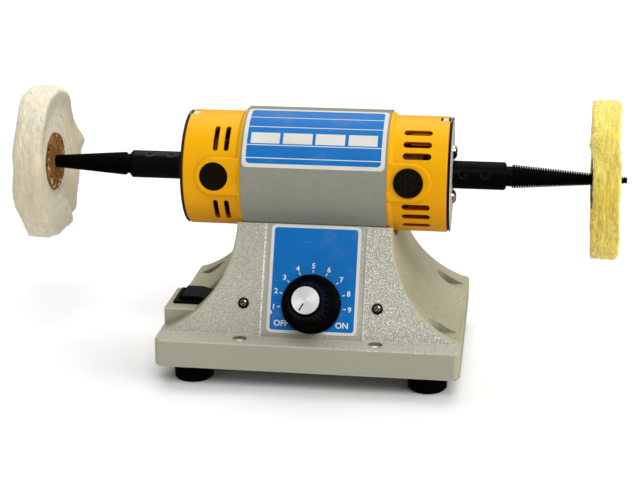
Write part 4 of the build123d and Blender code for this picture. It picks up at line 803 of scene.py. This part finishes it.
def taper_grid(side, start):
    """Threaded taper: the radius falls in a straight line, less a narrow groove between broad crests. The
    groove is a clipped triangle wave whose phase grows along the axis and falls with the angle. Both fade out
    at the ends."""
    angle = full_turn(60)[None]
    run = np.linspace(0, taper_length, 760)[:, None]
    cone = taper_big_radius + (taper_tip_radius - taper_big_radius) * run / taper_length
    phase = (run / thread_pitch - angle / (2 * np.pi)) % 1
    groove = np.clip(4.0 * np.abs(2 * phase - 1) - 2.6, 0, 1)
    begun = smooth(run, 0.0, thread_lead)
    depth = thread_depth * begun * smooth(run, taper_length, taper_length - groove_runout)
    crest = thread_crest * begun * smooth(run, taper_length, taper_length - crest_runout)
    radius = cone + crest - groove * depth * smooth(cone, 0.0, full_depth_radius)
    radius = np.pad(radius, ((1, 1), (0, 0)))
    along = np.pad(run, ((1, 1), (0, 0)), "edge")
    return about_axis(side * (start + sleeve_length + neck_length + along), radius, angle)

for side, name, start in ((-1, "left_spindle", left_sleeve), (1, "right_spindle", right_sleeve)):
    grids = [(sleeve_grid(side, start), False, True), (taper_grid(side, start), False, True)]
    piece(name + "_threaded", grids, "rotor", spindle_black, [name])

# Screw heads

def head(radius, rim, crown, driver, size, depth, foot):
    """Head of a screw: a dome as high as crown over a rim, its middle sunk by a cross or a hexagon. The sink
    is depth times a mask that falls from 1 to 0 over the shape's edge. A flat end at foot closes it."""
    angle = full_turn(96)
    out = np.concatenate([np.linspace(0, 1, 42) ** 0.8, [1.0, 0.0]])[:, None] * radius
    x, y = out * np.cos(angle)[None], out * np.sin(angle)[None]
    if driver == "cross":
        narrow, wide = np.minimum(abs(x), abs(y)), np.maximum(abs(x), abs(y))
        mask = smooth(narrow, size * 0.26, size * 0.12) * smooth(wide, size * 1.05, size * 0.8)
        mask = np.maximum(mask, smooth(np.hypot(x, y), size * 0.62, size * 0.36))
    else:
        flats = [abs(x * math.cos(a) + y * math.sin(a)) for a in (0, math.pi / 3, 2 * math.pi / 3)]
        mask = smooth(np.maximum.reduce(flats), size * 1.08, size * 0.95)
    z = rim + crown * np.sqrt(np.clip(1 - (out / radius) ** 2, 0, 1)) - depth * mask
    z[-2:] = foot
    return np.stack([x, y, z], -1)

def heads(name, shape, places, body, paint, node):
    """One object of like heads. Each place has its origin and the three directions of a head's axes."""
    grids = []
    for origin, *axes in places:
        grids.append((np.asarray(origin, float) + shape @ np.array(axes, float), False, True))
    piece(name, grids, body, paint, [node], sharp=30)

slope_axes = ((1, 0, 0), (0, math.sin(lean), math.cos(lean)), (0, -math.cos(lean), math.sin(lean)))
shape = head(front_screw_radius, rim=0.7, crown=1.1, driver="cross", size=1.9, depth=1.3, foot=-3.0)
places = [(on_slope(side * front_screw_x, front_screw_rise, 0.0), *slope_axes) for side in (-1, 1)]
heads("front_screw_heads", shape, places, "machine", front_screw_steel(), "front_screws")

shape = head(radius=4.4, rim=0.5, crown=2.3, driver="cross", size=2.4, depth=1.6, foot=-2.0)
places = [
    ((side * cover_face, 0, axis_height + up * cover_screw_rise), (0, 1, 0), (0, 0, 1), (side, 0, 0))
    for side in (-1, 1)
    for up in (-1, 1)
]
heads("cover_screw_heads", shape, places, "machine", dome_steel(), "end_plate_screws")

shape = head(radius=5.0, rim=1.2, crown=1.6, driver="cross", size=2.6, depth=1.7, foot=-3.0)
places = [
    ((x, y, foot_screw_seat), (1, 0, 0), (0, -1, 0), (0, 0, -1))
    for x in (-foot_screw_x, foot_screw_x)
    for y in (-foot_screw_y, foot_screw_y)
]
heads("foot_screw_heads", shape, places, "machine", plated, "foot_screws")

shape = head(radius=2.45, rim=8.1, crown=0.0, driver="hexagon", size=1.25, depth=1.6, foot=4.2)
places = []
for middle, tilt in set_screws:
    c, s = math.cos(tilt), math.sin(tilt)
    places.append(((middle, 0, axis_height), (1, 0, 0), (0, s, c), (0, -c, s)))
heads("spindle_grub_screws", shape, places, "rotor", spindle_black, "spindle_set_screws")

# Buffs

def threads(x, radius, angle, thick, sides):
    """Thin tubes: a small circle across the motor axis is carried along each path and shrinks to a point at
    its ends."""
    steps = np.linspace(0, 1, x.shape[1])
    swell = thick * np.sqrt(np.clip(1 - (2 * steps - 1) ** 6, 0, 1))[None, :, None]
    round_it = full_turn(sides)
    across = x[..., None] + swell * np.cos(round_it)
    tubes = about_axis(across, radius[..., None] + swell * np.sin(round_it), angle[..., None])
    return [(tube, False, True) for tube in tubes]

class Buff:
    """A stitched cotton wheel with its middle along the axis, the thickness of hub and rim, the rim's corner
    radius, the bore and the leather's thickness. loose says how far the cloth wanders, fan how far the rim
    leans, skew how far and at which angle the wheel sits askew. plies and crisp are the number and depth of
    the ridges on the rim, and folds have an angle, a width, a height and a side. seed starts the random
    draws."""

    def __init__(self, **sizes):
        vars(self).update(sizes)

    def face(self, radius):
        """Half thickness at a radius: even in the hub, an S curve out to the rim, pinched at the rings of
        stitches."""
        shoulder = buff_radius - self.corner
        half = self.hub / 2 + (self.rim - self.hub) / 2 * smooth(radius, buff_hub_radius, shoulder)
        return half - 0.45 * sum(np.exp(-(((radius - ring) / 1.1) ** 2)) for ring in stitch_rings)

    def wander(self, offset, radius, angle):
        """Moves points of the plain wheel to the loose one. The wheel sits askew by a cosine of the angle
        that grows evenly with the distance from the hub. Cloth sways, each face curls and the rim reaches out
        by sums of sines round the wheel, and folds stand out as bell curves; these grow with the square of
        that distance."""
        half = self.rim / 2
        reach = np.clip((radius - buff_hub_radius) / (buff_radius - buff_hub_radius), 0, 1.2)
        sway = self.fan + 0.8 * self.loose * waves(angle, (2, 3, 5), self.seed)
        curl = waves(angle, (3, 5, 6, 9), self.seed + 1) * smooth(offset, 0, half)
        curl = curl - waves(angle, (3, 4, 7, 8), self.seed + 3) * smooth(-offset, 0, half)
        folds = 0
        for place, width, height, side in self.folds:
            away = turned_from(angle, math.radians(place)) / math.radians(width)
            folds = folds + height * np.exp(-(away ** 2)) * smooth(side * offset, 0, half)
        outward = 0.7 * self.loose * waves(angle, (3, 5, 7, 11, 16), self.seed + 2)
        askew = self.skew[0] * np.cos(angle - math.radians(self.skew[1])) * reach
        offset = offset - askew + reach ** 2 * (sway + self.loose * curl + folds)
        return offset, radius + reach ** 2 * outward

    def skin(self):
        """Closed section carried round the axis: bore, outer face, rim, inner face. Each ply raises a ridge
        along the rim, a few creases part the plies, and random lumps roughen it."""
        shoulder = buff_radius - self.corner
        faces = np.linspace(self.bore, shoulder, 46)
        bend = np.linspace(0, np.pi / 2, 16)
        turned = shoulder + self.corner * np.sin(bend)
        bulge = self.rim / 2 - self.corner + self.corner * np.cos(bend)
        offset = np.concatenate([self.face(faces), bulge, -bulge[::-1], -self.face(faces[::-1])])
        radius = np.concatenate([faces, turned, turned[::-1], faces[::-1]])
        offset, radius = (row[:, None] for row in stretched(np.stack([offset, radius], 1), 220))
        angle = full_turn(420)
        shape = (len(offset), len(angle))
        edge = smooth(radius, buff_radius - 1.2 * self.corner - 1.0, buff_radius)
        drift = 0.3 * waves(angle, (3, 7, 12, 19), self.seed + 4)[None]
        drift = drift + 0.4 * lumpy(shape, 14, self.seed + 5)
        across = (offset / self.rim + 0.5) * self.plies + drift
        ridge = np.abs(across % 1 - 0.5) * 2
        parted = np.array([0.2, 0.45, 0.62, 0.86]) * self.plies
        creases = sum(np.exp(-(((across - ply) / 0.22) ** 2)) for ply in parted)
        rough = lumpy(shape, 2, self.seed + 6)
        soft = lumpy(shape, 30, self.seed + 7)
        offset, radius = self.wander(offset, radius, angle[None])
        sunk = self.crisp * (0.45 * ridge ** 1.5 + 0.7 * creases)
        radius = radius + edge * (0.5 * rough + 0.9 * soft - sunk)
        offset = offset + (0.22 * rough + 0.45 * soft) * smooth(radius, 20.0, 30.0)
        return about_axis(self.middle + offset, radius, angle[None])

    def stitches(self):
        """Rings of short threads on both faces, which rise out of the cloth and dip back by a parabola."""
        along = np.linspace(-0.5, 0.5, 7)[None]
        grids = []
        for ring, count in stitch_rings.items():
            for sign in (-1, 1):
                angle = full_turn(count)[:, None] + along * 2 * np.pi / count * 0.35
                radius = ring + 0.5 * waves(angle, (2, 5, 9), self.seed + 8)
                offset = sign * (self.face(radius) + 0.05 - 1.6 * along ** 2)
                offset, radius = self.wander(offset, radius, angle)
                grids += threads(self.middle + offset, radius, angle, 0.2, 5)
        return grids

    def lint(self, count, length, tuft=None):
        """Loose threads on the rim: each leaves the cloth at a random slant, curls evenly and rises by a
        sine, flatter at the top. A tuft has an angle in degrees, and its threads start round it on the edge
        towards the motor."""
        dice = np.random.default_rng(self.seed + 9)
        step = np.linspace(0, 1, 7)[None]
        shape = (count, 1)
        start = dice.uniform(0, 2 * np.pi, shape)
        offset = np.sign(dice.uniform(-1, 1, shape)) * 0.5 * self.rim * dice.uniform(0, 1, shape) ** 0.6
        if tuft is not None:
            start = math.radians(tuft) + dice.normal(0, 0.13, shape)
            offset = -np.sign(self.middle) * 0.5 * self.rim * dice.uniform(0.7, 1.0, shape)
        reach = length * dice.uniform(0.3, 1.0, shape)
        slant = dice.normal(0, 0.5, shape) + dice.integers(0, 2, shape) * np.pi
        turn = slant + dice.normal(0, 1.4, shape) * step
        sideways = np.cumsum(np.sin(turn), 1) / step.shape[1] * reach
        forward = np.cumsum(np.cos(turn), 1) / step.shape[1] * reach
        overhang = np.clip(np.abs(offset) - (self.rim / 2 - self.corner), 0, self.corner)
        base = buff_radius - self.corner + np.sqrt(np.clip(self.corner ** 2 - overhang ** 2, 0, None))
        angle = start + forward / buff_radius
        across = np.clip(offset + sideways, -self.rim / 2 - 0.3, self.rim / 2 + 0.3)
        across, radius = self.wander(across, base + 0 * sideways, angle)
        lift = 1 - 0.55 * smooth(np.sin(angle), 0.75, 1.0)
        radius = radius - 0.6 + lift * dice.uniform(0.1, 0.75, shape) * np.sin(step * np.pi * 0.8) * 1.7
        return threads(self.middle + across, radius, angle, 0.18, 3)

    def frays(self, count):
        """Cotton ends that lie across the edges of the leather discs, each a short line at a random slant."""
        dice = np.random.default_rng(self.seed + 20)
        step = np.linspace(-0.5, 0.5, 5)[None]
        shape = (count, 1)
        side = np.sign(dice.uniform(-1, 1, shape))
        length = dice.uniform(1.5, 5.0, shape)
        slant = dice.normal(0, 0.9, shape) + 0.7 * step
        radius = leather_radius - dice.uniform(-0.8, 3.5, shape) + length * step * np.cos(slant)
        angle = dice.uniform(0, 2 * np.pi, shape) + length * step * np.sin(slant) / leather_radius
        height = self.hub / 2 + self.leather * smooth(radius, leather_radius + 0.9, leather_radius - 0.4)
        return threads(self.middle + side * (height + 0.08), radius, angle, 0.2, 4)

    def discs(self):
        """Two leather discs against the hub: a closed flat section turned about the axis, with a torn edge
        and lumpy faces."""
        low, high, edge = self.hub / 2, self.hub / 2 + self.leather, leather_radius
        section = [(low, self.bore), (low, edge), (high, edge), (high, self.bore), (low, self.bore)]
        angle = full_turn(160)
        grids = []
        for sign in (-1, 1):
            offset, radius = (row[:-1, None] for row in stretched(section, 110))
            shape = (len(offset), len(angle))
            torn = 0.35 * waves(angle, (5, 9, 16, 27, 41), self.seed + sign)[None]
            torn = torn + 0.3 * lumpy(shape, 2, self.seed + 3 + sign)
            lumps = 0.22 * lumpy(shape, 3, self.seed + 6 + sign)
            radius = radius + torn * smooth(radius, edge - 2.0, edge)
            offset = offset + lumps * smooth(offset, low, high)
            grids.append((about_axis(self.middle + sign * offset, radius, angle[None]), True, True))
        return grids

white_folds = (
    (140, 12, -0.7, 1), (158, 9, -2.0, 1), (176, 7, 4.4, 1), (200, 9, -0.8, 1), (244, 5, -2.2, 1),
    (254, 5, 2.0, 1), (-12, 14, -2.0, -1), (8, 7, 0.8, -1), (28, 14, 1.3, -1), (-42, 12, 0.9, -1),
)
yellow_folds = (
    (90, 35, -1.2, -1), (-90, 35, -0.7, -1), (40, 9, -1.9, -1), (33, 2.2, -0.9, -1), (40, 2.2, -1.2, -1),
    (46, 2.2, -0.9, -1), (5, 40, -0.5, -1), (-62, 5, -1.6, 1),
)
left_buff = Buff(
    middle=-180.8, hub=7.6, rim=19.0, corner=4.8, bore=3.5, leather=1.4, loose=0.9, fan=-1.4,
    skew=(-1.0, 0.0), plies=14, crisp=0.45, folds=white_folds, seed=11,
)
right_buff = Buff(
    middle=180.2, hub=14.0, rim=16.2, corner=2.3, bore=3.0, leather=0.7, loose=0.4, fan=0.5,
    skew=(2.2, 50.0), plies=15, crisp=1.0, folds=yellow_folds, seed=42,
)
for wheel, name, cloth, lint, slot in (
    (left_buff, "left_buff", white_cotton, white_lint, "white_cotton"),
    (right_buff, "right_buff", yellow_cotton, yellow_lint, "yellow_cotton"),
):
    made = piece(name + "_cloth", [(wheel.skin(), True, True)], "rotor", cloth, [name], sharp=180)
    piece(name + "_stitches", wheel.stitches(), "rotor", thread)
    piece(name + "_lint", wheel.lint(700, 5.0) + wheel.lint(130, 5.0, tuft=41.0), "rotor", lint)
    piece(name + "_frays", wheel.frays(44), "rotor", lint)
    node = name.replace("buff", "leather_discs")
    piece(name + "_leather", wheel.discs(), "rotor", leather, [node], sharp=180)

# Print on the front label

def lettering(text, size):
    """Thin closed letters as points and faces in millimetres, middle at the origin."""
    curve = bpy.data.curves.new("letters", "FONT")
    curve.body = text
    curve.size = size
    curve.align_x, curve.align_y = "CENTER", "CENTER"
    curve.offset = 0.018 * size
    curve.extrude = ink_thickness / 2
    curve.resolution_u = 4
    carrier = placed("letters", curve)
    bpy.context.view_layer.update()
    shape = carrier.evaluated_get(bpy.context.evaluated_depsgraph_get()).to_mesh()
    points = np.zeros((len(shape.vertices), 3), np.float32)
    shape.vertices.foreach_get("co", points.ravel())
    corners = np.zeros(len(shape.loops), np.int32)
    shape.loops.foreach_get("vertex_index", corners)
    starts = np.zeros(len(shape.polygons), np.int32)
    shape.polygons.foreach_get("loop_start", starts)
    bpy.data.objects.remove(carrier)
    bpy.data.curves.remove(curve)
    return points, np.split(corners, starts[1:])

words = [("OFF", word_size, off_x, word_rise), ("ON", word_size, on_x, word_rise)]
for number in range(dial_numbers):
    angle = math.radians(dial_step * (number - (dial_numbers - 1) / 2))
    x, rise = knob_x + numeral_radius * math.sin(angle), knob_rise + numeral_radius * math.cos(angle)
    words.append((str(number + 1), numeral_size, x, rise))
points, faces = [], []
start = 0
for text, size, x, rise in words:
    letters, cut = lettering(text, size)
    points.append(letters + (x, rise, label_top))
    faces += [(start + face).tolist() for face in cut]
    start += len(letters)
points = on_slope(*np.concatenate(points).T)
solid("front_label_print", points, faces, "machine", plain_ink())

# Camera, at the place and with the lens that the photograph's perspective gives

camera = placed("camera", bpy.data.cameras.new("camera"))
back = np.array([0.12495, -0.94461, 0.30347])
right = np.array([0.99136, 0.13113, 0.0])
up = np.cross(back, right)
turn = Matrix(np.stack([right, up, back], 1).tolist()).to_4x4()
turn.translation = (0.1209, -0.9174, 0.3723)
camera.matrix_world = turn
camera.data.sensor_width = 36.0
camera.data.lens = 83.5
camera.data.clip_start, camera.data.clip_end = 0.01, 50.0
bpy.context.scene.camera = camera

# Floor, 16 m square, and light

floor_half = 8.0
floor_mesh = bpy.data.meshes.new("floor")
corners = [(x * floor_half, y * floor_half, 0.0) for x, y in ((-1, -1), (1, -1), (1, 1), (-1, 1))]
floor_mesh.from_pydata(corners, [], [(0, 1, 2, 3)])
floor = placed("floor", floor_mesh)
floor_paint = Paint("pale_floor", Specular_IOR_Level=0.1, Roughness=0.9)
floor_tone = floor_paint.mix(floor_paint.noise(300.0), (0.95, 0.95, 0.95), (0.97, 0.97, 0.97))
floor_mesh.materials.append(floor_paint.set(Base_Color=floor_tone).material)
floor.visible_glossy = False

def daylight(name, tilt, turn, strength, spread):
    """Even light from a wide part of the sky: tilt from straight above to the front, turn to the right."""
    light = bpy.data.lights.new(name, "SUN")
    light.energy = strength
    light.angle = math.radians(spread)
    placed(name, light).rotation_euler = (math.radians(tilt), 0.0, math.radians(turn))

daylight("front_light", tilt=40.0, turn=18.0, strength=1.3, spread=30.0)
daylight("top_light", tilt=-26.0, turn=0.0, strength=1.85, spread=60.0)
daylight("right_light", tilt=62.0, turn=74.0, strength=1.3, spread=50.0)
world = bpy.data.worlds.new("studio")
world.use_nodes = True
sky = world.node_tree.nodes["Background"].inputs
sky["Color"].default_value = (1.0, 1.0, 1.0, 1.0)
sky["Strength"].default_value = 0.2
bpy.context.scene.world = world
bpy.context.scene.view_settings.view_transform = "Standard"
